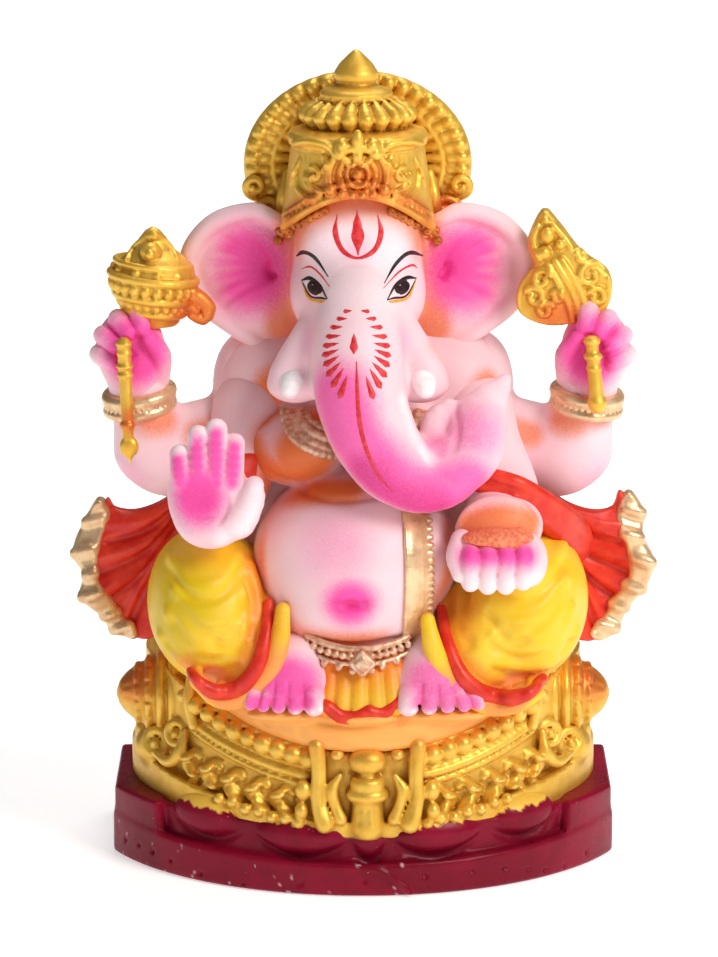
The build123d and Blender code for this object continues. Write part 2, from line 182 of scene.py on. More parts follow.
def sheet(outline, y_front, y_back, edge=0.6):
    """A plate in the XZ plane from outline points, with rounded edges; y may be a function of x and z."""
    spots = [np.array(p, float) for p in outline]
    line, _ = smooth_line(spots[-2:] + spots + spots[:2], None, 1.5)
    first = min(range(len(line)), key=lambda n: np.linalg.norm(line[n] - spots[0]))
    line = np.array(line[first:])
    last = min(range(5, len(line)), key=lambda n: np.linalg.norm(line[n] - spots[0]))
    ring = line[:last]
    low2, high2 = ring.min(0), ring.max(0)

    def distance(x, y, z):
        gx, gz = x[:, :, 0], z[0, :, :]
        gx, gz = np.broadcast_arrays(gx, gz)
        near = np.full(gx.shape, 1e9)
        inside = np.zeros(gx.shape, bool)
        for (ax, az), (bx, bz) in zip(ring, np.roll(ring, -1, 0)):
            wx, wz = bx - ax, bz - az
            t = np.clip(((gx - ax) * wx + (gz - az) * wz) / max(wx * wx + wz * wz, 1e-9), 0, 1)
            near = np.minimum(near, (gx - ax - t * wx) ** 2 + (gz - az - t * wz) ** 2)
            crosses = (az > gz) != (bz > gz)
            inside ^= crosses & (gx < ax + (gz - az) / (wz if wz else 1e-9) * wx)
        flat = np.where(inside, -np.sqrt(near), np.sqrt(near))[:, None, :] + edge
        front = y_front(gx, gz)[:, None, :] if callable(y_front) else y_front
        back = y_back(gx, gz)[:, None, :] if callable(y_back) else y_back
        deep = np.maximum(front - y, y - back) + edge
        return np.sqrt(np.maximum(flat, 0) ** 2 + np.maximum(deep, 0) ** 2) + np.minimum(np.maximum(flat, deep),
                0) - edge

    fy = -20 if callable(y_front) else 0
    low = np.array((low2[0], (0 if callable(y_front) else y_front) + fy, low2[1]))
    high = np.array((high2[0], (0 if callable(y_back) else y_back) - (fy if callable(y_back) else 0), high2[1]))
    return [(low, high, distance)]


class Clay:
    """A lump of modelling clay held as distances on a grid."""

    def __init__(self, low, high, step):
        self.low = np.array(low, float)
        self.step = step
        self.count = tuple(int((h - l) / step) + 2 for l, h in zip(low, high))
        self.field = np.full(self.count, FAR, np.float32)

    def window(self, low, high, margin):
        start = [max(0, int((l - margin - o) / self.step)) for l, o in zip(low, self.low)]
        stop = [min(n, int((h + margin - o) / self.step) + 2) for h, o, n in zip(high, self.low, self.count)]
        if any(b <= a for a, b in zip(start, stop)):
            return None, None
        region = tuple(slice(a, b) for a, b in zip(start, stop))
        axes = [(self.low[k] + self.step * np.arange(start[k], stop[k])).astype(np.float32) for k in range(3)]
        return region, np.meshgrid(*axes, indexing="ij", sparse=True)

    def lay(self, lumps, blend, how):
        margin = 2 * blend + 1.5
        region, _ = self.window(np.min([m[0] for m in lumps], 0), np.max([m[1] for m in lumps], 0), margin)
        if region is None:
            return self
        size = tuple(r.stop - r.start for r in region)
        new = np.full(size, FAR, np.float32)
        for low, high, distance in lumps:
            part, grid = self.window(low, high, margin)
            if part is None:
                continue
            inner = tuple(slice(p.start - r.start, p.stop - r.start) for p, r in zip(part, region))
            new[inner] = np.minimum(new[inner], distance(*grid))
        old = self.field[region]
        if how == "cut":
            old, new = -old, new
        ease = np.clip(0.5 + 0.5 * (new - old) / max(blend, 1e-4), 0, 1)
        mixed = new + (old - new) * ease - blend * ease * (1 - ease)
        self.field[region] = -mixed if how == "cut" else mixed
        return self

    def add(self, lumps, blend=0.4):
        return self.lay(lumps, blend, "add")

    def cut(self, lumps, blend=0.3):
        return self.lay(lumps, blend, "cut")

    def keep(self, lumps):
        """Keep only what lies inside the lumps."""
        distance = lumps[0][2]
        _, grid = self.window(self.low, self.low + self.step * np.array(self.count), 0)
        self.field = np.maximum(self.field, distance(*grid).astype(np.float32))
        return self

    def sample(self, spots, field=None):
        """The field's value at points."""
        field = self.field if field is None else field
        at = (np.asarray(spots, float) - self.low) / self.step
        cell = np.clip(np.floor(at).astype(int), 0, np.array(self.count) - 2)
        part = np.clip(at - cell, 0, 1)
        total = 0
        for dx in (0, 1):
            for dy in (0, 1):
                for dz in (0, 1):
                    weight = abs(1 - dx - part[:, 0]) * abs(1 - dy - part[:, 1]) * abs(1 - dz - part[:, 2])
                    total = total + weight * field[cell[:, 0] + dx, cell[:, 1] + dy, cell[:, 2] + dz]
        return total

    def front(self, x, z, default=None):
        """How far forward the clay's surface is at (x, z), seen from the front."""
        depth = self.low[1] + self.step * np.arange(self.count[1])
        spots = np.stack([np.full(len(depth), x), depth, np.full(len(depth), z)], 1)
        values = self.sample(spots)
        inside = np.nonzero(values < 0)[0]
        if len(inside) == 0:
            return default
        n = inside[0]
        if n == 0:
            return depth[0]
        return depth[n - 1] + self.step * values[n - 1] / (values[n - 1] - values[n])

    def on(self, flat_points, lift=0.0, spacing=1.0, default=None):
        """Points laid on the front surface along a smooth line given as (x, z)."""
        line, _ = smooth_line([(x, 0, z) for x, z in flat_points], None, spacing)
        out = []
        for x, _, z in line:
            y = self.front(x, z, default)
            if y is not None:
                out.append((x, y - lift, z))
        return out

    def score(self, flat_points, size=0.6, depth=0.35, blend=0.5):
        """Score a groove into the front surface."""
        line = self.on(flat_points, size - depth)
        if len(line) > 1:
            self.cut(rope(line, [size * 0.4] + [size] * (len(line) - 2) + [size * 0.4], 5), blend)
        return self

    def ridge(self, flat_points, size=0.8, proud=0.4, blend=0.5, taper=0.4):
        """Lay a raised line on the front surface."""
        line = self.on(flat_points, proud - size)
        if len(line) > 1:
            self.add(rope(line, [size * taper] + [size] * (len(line) - 2) + [size * taper], 5), blend)
        return self

    def bead(self, x, z, size, proud=0.5, blend=0.3, squash=1.0):
        """A small boss on the front surface."""
        y = self.front(x, z)
        if y is not None:
            self.add(blob((x, y + size - proud - size * 0.4, z), (size, size, size * squash)), blend)
        return self

    def hollow(self, reach):
        """The field averaged over a cube: high in open air, low in creases."""
        n = max(1, int(reach / self.step))
        field = np.clip(self.field, -reach, reach).astype(np.float64)
        for axis in range(3):
            pad = [(0, 0)] * 3
            pad[axis] = (n + 1, n)
            total = np.cumsum(np.pad(field, pad, mode="edge"), axis=axis)
            ahead = [slice(None)] * 3
            behind = [slice(None)] * 3
            ahead[axis], behind[axis] = slice(2 * n + 1, None), slice(0, -2 * n - 1)
            field = (total[tuple(ahead)] - total[tuple(behind)]) / (2 * n + 1)
        return field

    def skin(self, name, paints=(), crease=1.8):
        """Turn the clay into a mesh. paints are (attribute, function of points) pairs."""
        field = self.field.copy()
        for axis in range(3):
            for end in (0, -1):
                edge = [slice(None)] * 3
                edge[axis] = end
                field[tuple(edge)] = np.maximum(field[tuple(edge)], 0.4 * self.step)
        grid = openvdb.FloatGrid(3.0)
        grid.copyFromArray(np.clip(field / self.step, -3, 3).astype(np.float32), tolerance=0.0)
        spots, tris, quads = grid.convertToPolygons(isovalue=0.0, adaptivity=0.0)
        spots = spots.astype(float) * self.step + self.low
        piece = make_mesh(name, spots, np.asarray(quads), np.asarray(tris))
        # How deep each point lies in a fold: the paints use it for painted shade in the folds and a painted highlight
        # on the crests.
        paint(piece, "crease", -self.sample(spots, self.hollow(crease)) / crease)
        for word, rule in paints:
            paint(piece, word, np.clip(rule(spots), 0, 1))
        return piece


def make_mesh(name, spots, quads, tris=()):
    """A smooth-shaded mesh from millimetre points."""
    mesh = bpy.data.meshes.new(name)
    faces = [f for f in (quads, tris) if len(f)]
    loops = np.concatenate([np.asarray(f).ravel() for f in faces]).astype(np.int32)
    sizes = np.concatenate([np.full(len(f), len(f[0])) for f in faces]).astype(np.int32)
    mesh.vertices.add(len(spots))
    mesh.vertices.foreach_set("co", (np.asarray(spots, np.float32) / 1000).ravel())
    mesh.loops.add(len(loops))
    mesh.loops.foreach_set("vertex_index", loops)
    mesh.polygons.add(len(sizes))
    mesh.polygons.foreach_set("loop_start", np.concatenate([[0], np.cumsum(sizes)[:-1]]).astype(np.int32))
    mesh.polygons.foreach_set("use_smooth", np.ones(len(sizes), bool))
    mesh.update(calc_edges=True)
    mesh.validate()
    piece = bpy.data.objects.new(name, mesh)
    bpy.context.collection.objects.link(piece)
    return piece


def paint(piece, word, values):
    """Store one float per point, for the paint to read."""
    layer = piece.data.attributes.new(word, "FLOAT", "POINT")
    layer.data.foreach_set("value", np.asarray(values, np.float32).ravel())


def spray(centre, reach, soft, stretch=(1, 1, 1)):
    """An airbrushed patch: full inside reach, gone soft millimetres further out."""
    centre, stretch = np.array(centre, float), np.array(stretch, float)

    def rule(spots):
        gap = np.linalg.norm((spots - centre) / stretch, axis=1)
        t = np.clip((reach + soft - gap) / soft, 0, 1)
        return t * t * (3 - 2 * t)

    return rule


def spray_line(points, reach, soft):
    """An airbrushed pass along a line."""
    line, _ = smooth_line(points, None, 2.0)
    dots = [spray(p, reach, soft) for p in line]
    return lambda spots: np.max([dot(spots) for dot in dots], 0)


def layered(*rules):
    """The strongest of several sprays."""
    return lambda spots: np.max([rule(spots) for rule in rules], 0)


def finish(piece, slot, finish_name, *nodes):
    """Give a piece its paint and its body, and hide the frame nodes it stands for."""
    piece.data.materials.append(finishes()[finish_name])
    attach(piece, ROOT)
    if nodes:
        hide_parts(*nodes)
    return piece


KEPT = {}


# ---------------------------------------------------------------- brush strokes: thin raised paint
def stroke(surface, flat_points, widths, lift=0.14, across=5, spacing=0.35):
    """One brush stroke on the front of a clay surface, as a thin crowned ribbon: (points, quads)."""
    line, wide = smooth_line([(x, 0, z) for x, z in flat_points], widths, spacing)
    spots, quads = [], []
    for n, (p, w) in enumerate(zip(line, wide)):
        a, b = line[max(n - 1, 0)], line[min(n + 1, len(line) - 1)]
        way = b - a
        side = np.array((-way[2], 0, way[0])) / max(np.hypot(way[0], way[2]), 1e-6)
        for k in range(across):
            s = 2 * k / (across - 1) - 1
            x, _, z = p + side * s * w / 2
            y = surface.front(x, z, None)
            y = spots[-1][1] if y is None and spots else (y or 0)
            spots.append((x, y - (lift if abs(s) < 0.9 else -0.08), z))
    for n in range(len(line) - 1):
        for k in range(across - 1):
            a = n * across + k
            quads.append((a, a + across, a + across + 1, a + 1))
    return spots, quads


def strokes(name, parts):
    """Several strokes as one mesh."""
    spots, quads = [], []
    for more_spots, more_quads in parts:
        base = len(spots)
        spots += more_spots
        quads += [tuple(base + k for k in q) for q in more_quads]
    return make_mesh(name, np.array(spots), np.array(quads))


# ---------------------------------------------------------------- finishes
def colour(*rgb):
    """Linear colour from everyday 0 to 255 values."""
    line = [v / 255 for v in rgb]
    return tuple(v / 12.92 if v <= 0.04045 else ((v + 0.055) / 1.055) ** 2.4 for v in line) + (1.0,)


class Paintwork:
    """A small builder for one finish's node tree."""

    def __init__(self, name, rough, metal=0.0, coat=0.0, specular=0.5):
        self.material = bpy.data.materials.new(name)
        self.material.use_nodes = True
        self.tree = self.material.node_tree
        self.shader = self.tree.nodes["Principled BSDF"]
        self.shader.inputs["Roughness"].default_value = rough
        self.shader.inputs["Metallic"].default_value = metal
        self.shader.inputs["Coat Weight"].default_value = coat
        self.shader.inputs["Coat Roughness"].default_value = 0.12
        self.shader.inputs["Specular IOR Level"].default_value = specular
        place = self.node("ShaderNodeTexCoord")
        self.place = place.outputs["Object"]

    def node(self, kind, **settings):
        made = self.tree.nodes.new(kind)
        for key, value in settings.items():
            setattr(made, key, value)
        return made

    def link(self, source, target):
        self.tree.links.new(source, target)

    def noise(self, grain_mm, detail=3.0, rough=0.55, stretch=None):
        made = self.node("ShaderNodeTexNoise")
        made.inputs["Scale"].default_value = 1000.0 / grain_mm
        made.inputs["Detail"].default_value = detail
        made.inputs["Roughness"].default_value = rough
        if stretch:
            mapping = self.node("ShaderNodeMapping")
            mapping.inputs["Scale"].default_value = stretch
            self.link(self.place, mapping.inputs["Vector"])
            self.link(mapping.outputs[0], made.inputs["Vector"])
        else:
            self.link(self.place, made.inputs["Vector"])
        return made.outputs["Fac"]

    def mask(self, word):
        made = self.node("ShaderNodeAttribute", attribute_type="GEOMETRY", attribute_name=word)
        return made.outputs["Fac"]

    def math(self, operation, a, b, clamp=False):
        made = self.node("ShaderNodeMath", operation=operation, use_clamp=clamp)
        for slot, value in zip(made.inputs, (a, b)):
            if isinstance(value, (int, float)):
                slot.default_value = value
            else:
                self.link(value, slot)
        return made.outputs[0]

    def span(self, value, low, high, out_low=0.0, out_high=1.0):
        made = self.node("ShaderNodeMapRange", interpolation_type="SMOOTHSTEP")
        for key, number in zip(("From Min", "From Max", "To Min", "To Max"), (low, high, out_low, out_high)):
            made.inputs[key].default_value = number
        self.link(value, made.inputs["Value"])
        return made.outputs[0]

    def mix(self, factor, a, b):
        made = self.node("ShaderNodeMix", data_type="RGBA")
        for slot, value in ((made.inputs[0], factor), (made.inputs[6], a), (made.inputs[7], b)):
            if isinstance(value, (int, float, tuple)):
                slot.default_value = value
            else:
                self.link(value, slot)
        return made.outputs[2]

    def crease(self, low, high, strength):
        """The folds when high is above low, where the paints lay painted shade; the crests when it is below, where
        they lay a painted highlight.
        """
        return self.span(self.mask("crease"), low, high, 0.0, strength)

    def flake(self):
        """Fine metal flakes in the paint."""
        return self.span(self.noise(0.22, 1.0), 0.62, 0.72, 0.0, 0.35)

    def chips(self):
        """Scattered nicks, and the ones laid along the foot."""
        nicks = self.span(self.noise(1.1, 2.0, 0.6), 0.73, 0.76)
        nicks = self.math("MULTIPLY", nicks, self.span(self.noise(8.0, 1.0), 0.5, 0.56))
        return self.math("MAXIMUM", nicks, self.mask("chip"))

    def speckled(self, word):
        """An airbrushed mask whose soft edge breaks into fine droplets."""
        soft = self.mask(word)
        drops = self.noise(DROPLET_MM, 1.0, 0.5)
        edge = self.math("MULTIPLY", self.math("MULTIPLY", soft, self.math("SUBTRACT", 1.0, soft)), 4.0)
        shift = self.math("MULTIPLY", self.math("SUBTRACT", drops, 0.5), self.math("MULTIPLY", edge, 0.5))
        return self.math("ADD", soft, shift, clamp=True)

    def done(self, tint, bump, grain_mm, rough_spread=0.1):
        self.link(tint, self.shader.inputs["Base Color"])
        grain = self.noise(grain_mm, 4.0, 0.6)
        base = self.shader.inputs["Roughness"].default_value
        rough = self.span(self.noise(2.6, 3.0), 0.3, 0.7, base - rough_spread / 2, base + rough_spread / 2)
        self.link(rough, self.shader.inputs["Roughness"])
        lump = self.node("ShaderNodeBump")
        lump.inputs["Strength"].default_value = 0.35
        lump.inputs["Distance"].default_value = bump / 1000
        self.link(grain, lump.inputs["Height"])
        self.link(lump.outputs[0], self.shader.inputs["Normal"])
        return self.material


MADE = {}
DROPLET_MM = 0.55  # spray droplets at an airbrushed edge


# Each paint: label, roughness, other settings; its mottle and how that is spread; the ground's two shades;
# the layers over it; then bump height, bump grain and how far the roughness wanders.
# A shade is a 0 to 255 colour, or the name of one of the sidebar's.
EVEN, WIDE = (0.35, 0.65), (0.35, 0.7)
PAINTS = {
    # flesh: the crease layer puts orange-pink in the folds, the airbrushed orange that gathers there and painted
    # shade; the deep layer is darker magenta in hollows, deeper pink paint and painted shade.
    "flesh": ("airbrushed flesh", 0.5, dict(specular=0.35), (9.0,), (0.3, 0.7, 0.0, 0.5), ("flesh", (244, 200, 208)), (
        ("crease", -0.05, 0.5, 0.35, (240, 150, 130)), ("speckled", "orange", "orange"),
        ("speckled", "pink", "magenta"), ("speckled", "deep", (214, 38, 128)),
        ("speckled", "chalk", (252, 244, 246))), (0.03, 0.6)),
    # gold: darker in the folds, painted shade, and lighter on the crests, a painted highlight.
    "gold": ("gold paint", 0.44, dict(metal=0.52), (5.0, 4.0), EVEN, ("gold", (232, 180, 62)), (
        ("crease", -0.1, 0.45, 0.85, (158, 98, 18)), ("crease", -0.15, -0.55, 0.5, (252, 226, 130)),
        ("speckled", "orange", (225, 120, 50)), ("flake", (255, 226, 130))), (0.06, 0.5, 0.16)),
    # maroon: darker in the creases, painted shade.
    "maroon": ("maroon enamel", 0.33, dict(coat=0.04, specular=0.14), (14.0,), EVEN, ("maroon", (122, 10, 36)), (
        ("crease", 0.05, 0.5, 0.6, (70, 4, 16)), ("chips", (226, 196, 200)), ("mask", "spill", "gold")),
        (0.05, 1.4, 0.12)),
    # yellow: the orange in the folds is airbrushed orange and painted shade; the greener yellow is painted shade on
    # the side away from the light.
    "yellow": ("yellow cloth paint", 0.42, dict(specular=0.4), (7.0,), EVEN, ("yellow", (250, 206, 60)), (
        ("speckled", "green", (222, 190, 10)), ("crease", 0.02, 0.5, 0.5, (240, 150, 30)),
        ("speckled", "orange", (246, 132, 40)), ("speckled", "cuff", (250, 158, 78))), (0.03, 0.8)),
    # seat: the deeper orange is painted shadow under the feet and under the figure's right leg.
    "seat": ("orange seat paint", 0.45, dict(specular=0.4), (8.0, 3.0, 0.6, (0.35, 1, 1)), EVEN,
             ("seat", (252, 170, 84)), (("speckled", "orange", (248, 128, 26)),), (0.04, 0.9)),
    # red: darker in the folds, painted shade, and lighter on the crests, a painted highlight.
    "red": ("red cloth paint", 0.4, dict(specular=0.4), (4.0,), EVEN, ("red", (232, 62, 36)), (
        ("crease", 0.0, 0.5, 0.75, (140, 12, 10)), ("crease", -0.1, -0.5, 0.5, (250, 96, 62))), (0.04, 0.7)),
    "mark": ("red brush mark", 0.42, dict(specular=0.4), (1.2,), EVEN, ((206, 34, 44), (226, 66, 70)), (),
        (0.03, 0.5)),
    "black": ("black brush mark", 0.35, dict(specular=0.4), (1.0,), WIDE, ((22, 16, 22), (52, 38, 48)), (),
        (0.03, 0.5)),
    "white": ("eye white", 0.35, dict(specular=0.45), (1.6,), WIDE, ((250, 236, 238), (240, 206, 214)), (),
        (0.02, 0.5)),
    "ochre": ("eye underline", 0.4, dict(specular=0.4), (1.2,), WIDE, ((244, 178, 60), (236, 140, 50)), (),
        (0.02, 0.5)),
    # pale gold: darker in the creases, painted shade.
    "pale": ("pale gold paint", 0.33, dict(metal=0.52), (3.0,), EVEN, ("pale_gold", (238, 206, 160)), (
        ("crease", 0.0, 0.5, 0.75, (150, 90, 56)),), (0.05, 0.5, 0.14)),
    # bronze: darker in the recesses, painted shade.
    "bronze": ("worn bronze paint", 0.42, dict(metal=0.45), (1.6, 4.0), EVEN, ((206, 150, 112), (236, 202, 174)), (
        ("crease", -0.05, 0.4, 0.85, (112, 52, 16)),), (0.06, 0.5, 0.14)),
    # hair: darker between and under the curls, painted shade.
    "hair": ("brown curl paint", 0.45, dict(metal=0.25, specular=0.4), (1.3,), (0.4, 0.6),
             ((214, 124, 50), (178, 92, 34)), (("crease", -0.05, 0.35, 0.9, (96, 40, 14)),), (0.05, 0.5, 0.14)),
    "ivory": ("ivory paint", 0.42, dict(specular=0.45), (2.5,), WIDE, ((252, 249, 249), (244, 236, 238)), (),
        (0.02, 0.6)),
    "sweet": ("sweet paint", 0.5, dict(specular=0.35), (0.9,), EVEN, ((246, 150, 110), (232, 108, 70)), (),
        (0.12, 0.8)),
}


def finishes():
    """All the idol's paints, made once."""
    if MADE:
        return MADE
    look = bpy.context.scene.idol_colours

    def shade(value):
        return tuple(getattr(look, value)) + (1.0,) if isinstance(value, str) else colour(*value)

    for word, (label, rough, extras, mottle, spread, ground, layers, relief) in PAINTS.items():
        pot = Paintwork(label, rough, **extras)
        tint = pot.mix(pot.span(pot.noise(*mottle), *spread), *map(shade, ground))
        for kind, *how, over in layers:
            tint = pot.mix(getattr(pot, kind)(*how), tint, shade(over))
        MADE[word] = pot.done(tint, *relief)
    return MADE


# ---------------------------------------------------------------- head, trunk and ears
def head_clay():
    clay = Clay((-46, -46, 84), (44, 16, 172), 0.55)
    x = MID
    clay.add(blob((x, -3, 150), (16.2, 17, 17)))
    clay.add(blob((x, -6, 158), (13, 14, 11)), 5)
    clay.add(blob((x, -7, 140), (14.6, 13, 13)), 6)
    for side in (-1, 1):
        clay.add(blob((x + side * 6.5, -12.5, 157), (7, 7, 7.5)), 4)
        clay.add(blob((x + side * 8.4, -11, 141.5), (7, 9, 8.0)), 4)
        # cheek flap behind each tusk
        clay.add(rope([(x + side * 9, -17, 136), (x + side * 13.5, -20, 130.5), (x + side * 16.6, -21.5, 124.5)],
                      [4.6, 4.0, 4.4]), 2.0)
        clay.add(blob((x + side * 14.8, -21.5, 121.8), (6.9, 4.2, 4.4)), 1.6)
    # trunk: broad at the root, sweeping to the figure's left, its end rolled up
    clay.add(rope([(x, -14, 147), (x, -20, 139), (-1.6, -25.5, 131), (-0.8, -29, 122), (1.4, -31, 114),
                   (5.6, -32, 106.5), (11.5, -32, 101.8), (18, -31, 101), (23.5, -29.5, 104.5)],
                  [9.5, 10.5, 11.0, 10.9, 10.4, 9.6, 8.6, 7.6, 6.6]), 4)
    clay.add(rope([(21, -29.5, 103.5), (26, -28.5, 107.5), (27.2, -27, 112.5), (29, -25.5, 117), (32.6, -23.5, 121.5),
                   (34.0, -23, 123.6)], [7.0, 7.4, 7.2, 5.0, 2.5, 1.3]), 2.5)
    clay.add(rope([(17.0, -26.5, 108.5), (17.5, -26, 113.5), (20.5, -25.5, 116.5)], [4.0, 3.6, 2.6]), 1.6)
    # folds across the trunk's underside where it turns
    clay.score([(13.5, 109.5), (17.5, 104.8), (22.5, 101.5)], 0.9, 0.55, 0.8)
    clay.score([(21.5, 120), (22.2, 113), (21.0, 108)], 1.0, 0.7, 0.9)
    # ears, dished, with rolled rims
    for side in (-1, 1):
        cx = x + side * 27.6
        clay.add(blob((cx, 1.5, 146.5), (14.5, 4.2, 14.2), (0, 0, side * 16)), 1.5)
        clay.add(blob((cx - side * 5.0, 1, 136.5), (10, 4.0, 10.5), (0, 0, side * 14)), 4)
        clay.cut(blob((cx + side * 0.6, -4.2, 146.5), (11.0, 3.6, 10.8), (0, 0, side * 16)), 2.2)
        rim = [(cx - side * 8.5, -2.4, 158.2), (cx - side * 2.5, -1.6, 160.4), (cx + side * 6.5, 0.4, 157.6),
               (cx + side * 12.4, 2.2, 150.8), (cx + side * 13.2, 2.4, 143.4), (cx + side * 8.8, 1.0, 136.6),
               (cx + side * 2.0, -0.6, 131.4), (cx - side * 4.5, -1.4, 127.5)]
        clay.add(rope(rim, [1.8, 2.2, 2.4, 2.4, 2.3, 2.2, 2.0, 1.6]), 1.2)
        # creases fanning from the ear's root
        for rise in (-34, -16, 2, 20, 38, 56):
            a = radians(rise)
            root = (cx - side * 7.5, 145.0)
            tip = (root[0] + side * 15.5 * cos(a), root[1] + 13.5 * sin(a))
            mid = ((root[0] + tip[0]) / 2, (root[1] + tip[1]) / 2 + 0.8)
            clay.score([root, mid, tip], 0.9, 0.45, 1.0)
    return clay


def head_paints():
    x = MID
    pink_ears = layered(*[spray((x + side * 26.8, -1, 146.5), 5.0, 8, (1.05, 2.5, 1.25)) for side in (-1, 1)])
    deep_ears = layered(*[spray((x + side * 21.5, -1, 147), 1.5, 6.5, (1.0, 2.5, 1.6)) for side in (-1, 1)])
    trunk = spray_line([(-5.0, -36, 122), (-3.0, -40, 113), (2.5, -41, 106), (8.5, -42, 100.5), (16, -40, 98.0),
                        (24, -37, 99.5)], 4.2, 7.8)
    face = layered(spray_line([(-5, -30, 127), (-4, -34, 120)], 1.5, 7), spray((-9.5, -24, 132.5), 1.0, 6.5),
                   spray((6.5, -24, 132.5), 1.0, 6.5), spray((x, -21, 154), 0.5, 5.5),
                   spray((x - 9, -19, 143), 0.5, 4.5), spray((x + 9, -19, 143), 0.5, 4.5))
    bulb = layered(spray((18.0, -33, 108), 2.0, 5.5), spray((26, -32, 112), 3.0, 8.0))
    # Darker magenta under the trunk's curl and at the roots of the ears: deeper pink paint, with painted shade in
    # these hollows.
    deep = layered(spray_line([(1, -40, 104), (8, -40, 98.0), (16, -38, 95.8)], 2.0, 6.0), deep_ears)
    orange = layered(spray_line([(-18.5, -12, 156), (-13, -17, 164), (x, -20, 167.5), (10.5, -17, 164),
            (16, -12, 156)], 2.2, 6.5), spray_line([(-17.8, -6, 156), (-18.4, -4, 145), (-19, -4, 132)], 2.6, 4.6),
            spray_line([(15.4, -6, 156), (16.0, -4, 145), (16.6, -4, 132)], 2.6, 4.6),
            spray_line([(-14, -14, 128), (-9, -17, 122), (-8, -18, 114)], 2.5, 5), spray((14, -19, 128), 1.5, 5.0),
            spray_line([(x - 27, 4, 128), (x - 19, 2, 131)], 1.5, 6), spray_line([(x + 27, 4, 128), (x + 19, 2, 131)],
            1.5, 6))
    chalk = layered(lambda p: 0.4 * spray((x, -22, 149), 9.0, 9.0)(p), spray_line([(8.5, -34, 120), (10.5, -35, 112),
            (14.5, -36, 106.5)], 0.6, 3.2), spray_line([(-11, -26, 126), (-11.5, -29, 118)], 0.2, 2.4))
    front_ears = lambda p: pink_ears(p) * np.clip((2.5 - p[:, 1]) / 2.5, 0, 1)
    return [("pink", layered(front_ears, lambda p: 0.9 * trunk(p), lambda p: 0.42 * face(p), lambda p: 0.6 * bulb(p))),
            ("deep", lambda p: 0.7 * deep(p) * np.clip((2.5 - p[:, 1]) / 2.5, 0, 1)),
            ("orange", lambda p: 0.8 * orange(p)), ("chalk", lambda p: 0.8 * chalk(p))]


class IDOL_OT_head(bpy.types.Operator):
    """Model the head with its trunk, cheeks and ears, and the two tusks"""
    bl_idname = "idol.head"
    bl_label = "Head"

    def execute(self, context):
        clay = head_clay()
        KEPT["head"] = clay
        finish(clay.skin("head_and_trunk", head_paints()), "skin", "flesh", "head", "trunk", "right_ear", "left_ear")
        for side, word in ((-1, "right"), (1, "left")):
            tusk = Clay((-24, -34, 112), (22, -10, 136), 0.4)
            x = MID + side * 15.0
            tusk.add(rope([(x, -20, 125), (x + side * 0.7, -25.4, 123.0), (x + side * 1.1, -27.0, 121.8)],
                          [3.2, 2.9, 2.4]))
            finish(tusk.skin(word + "_tusk"), "ivory", "ivory", word + "_tusk")
        return {"FINISHED"}


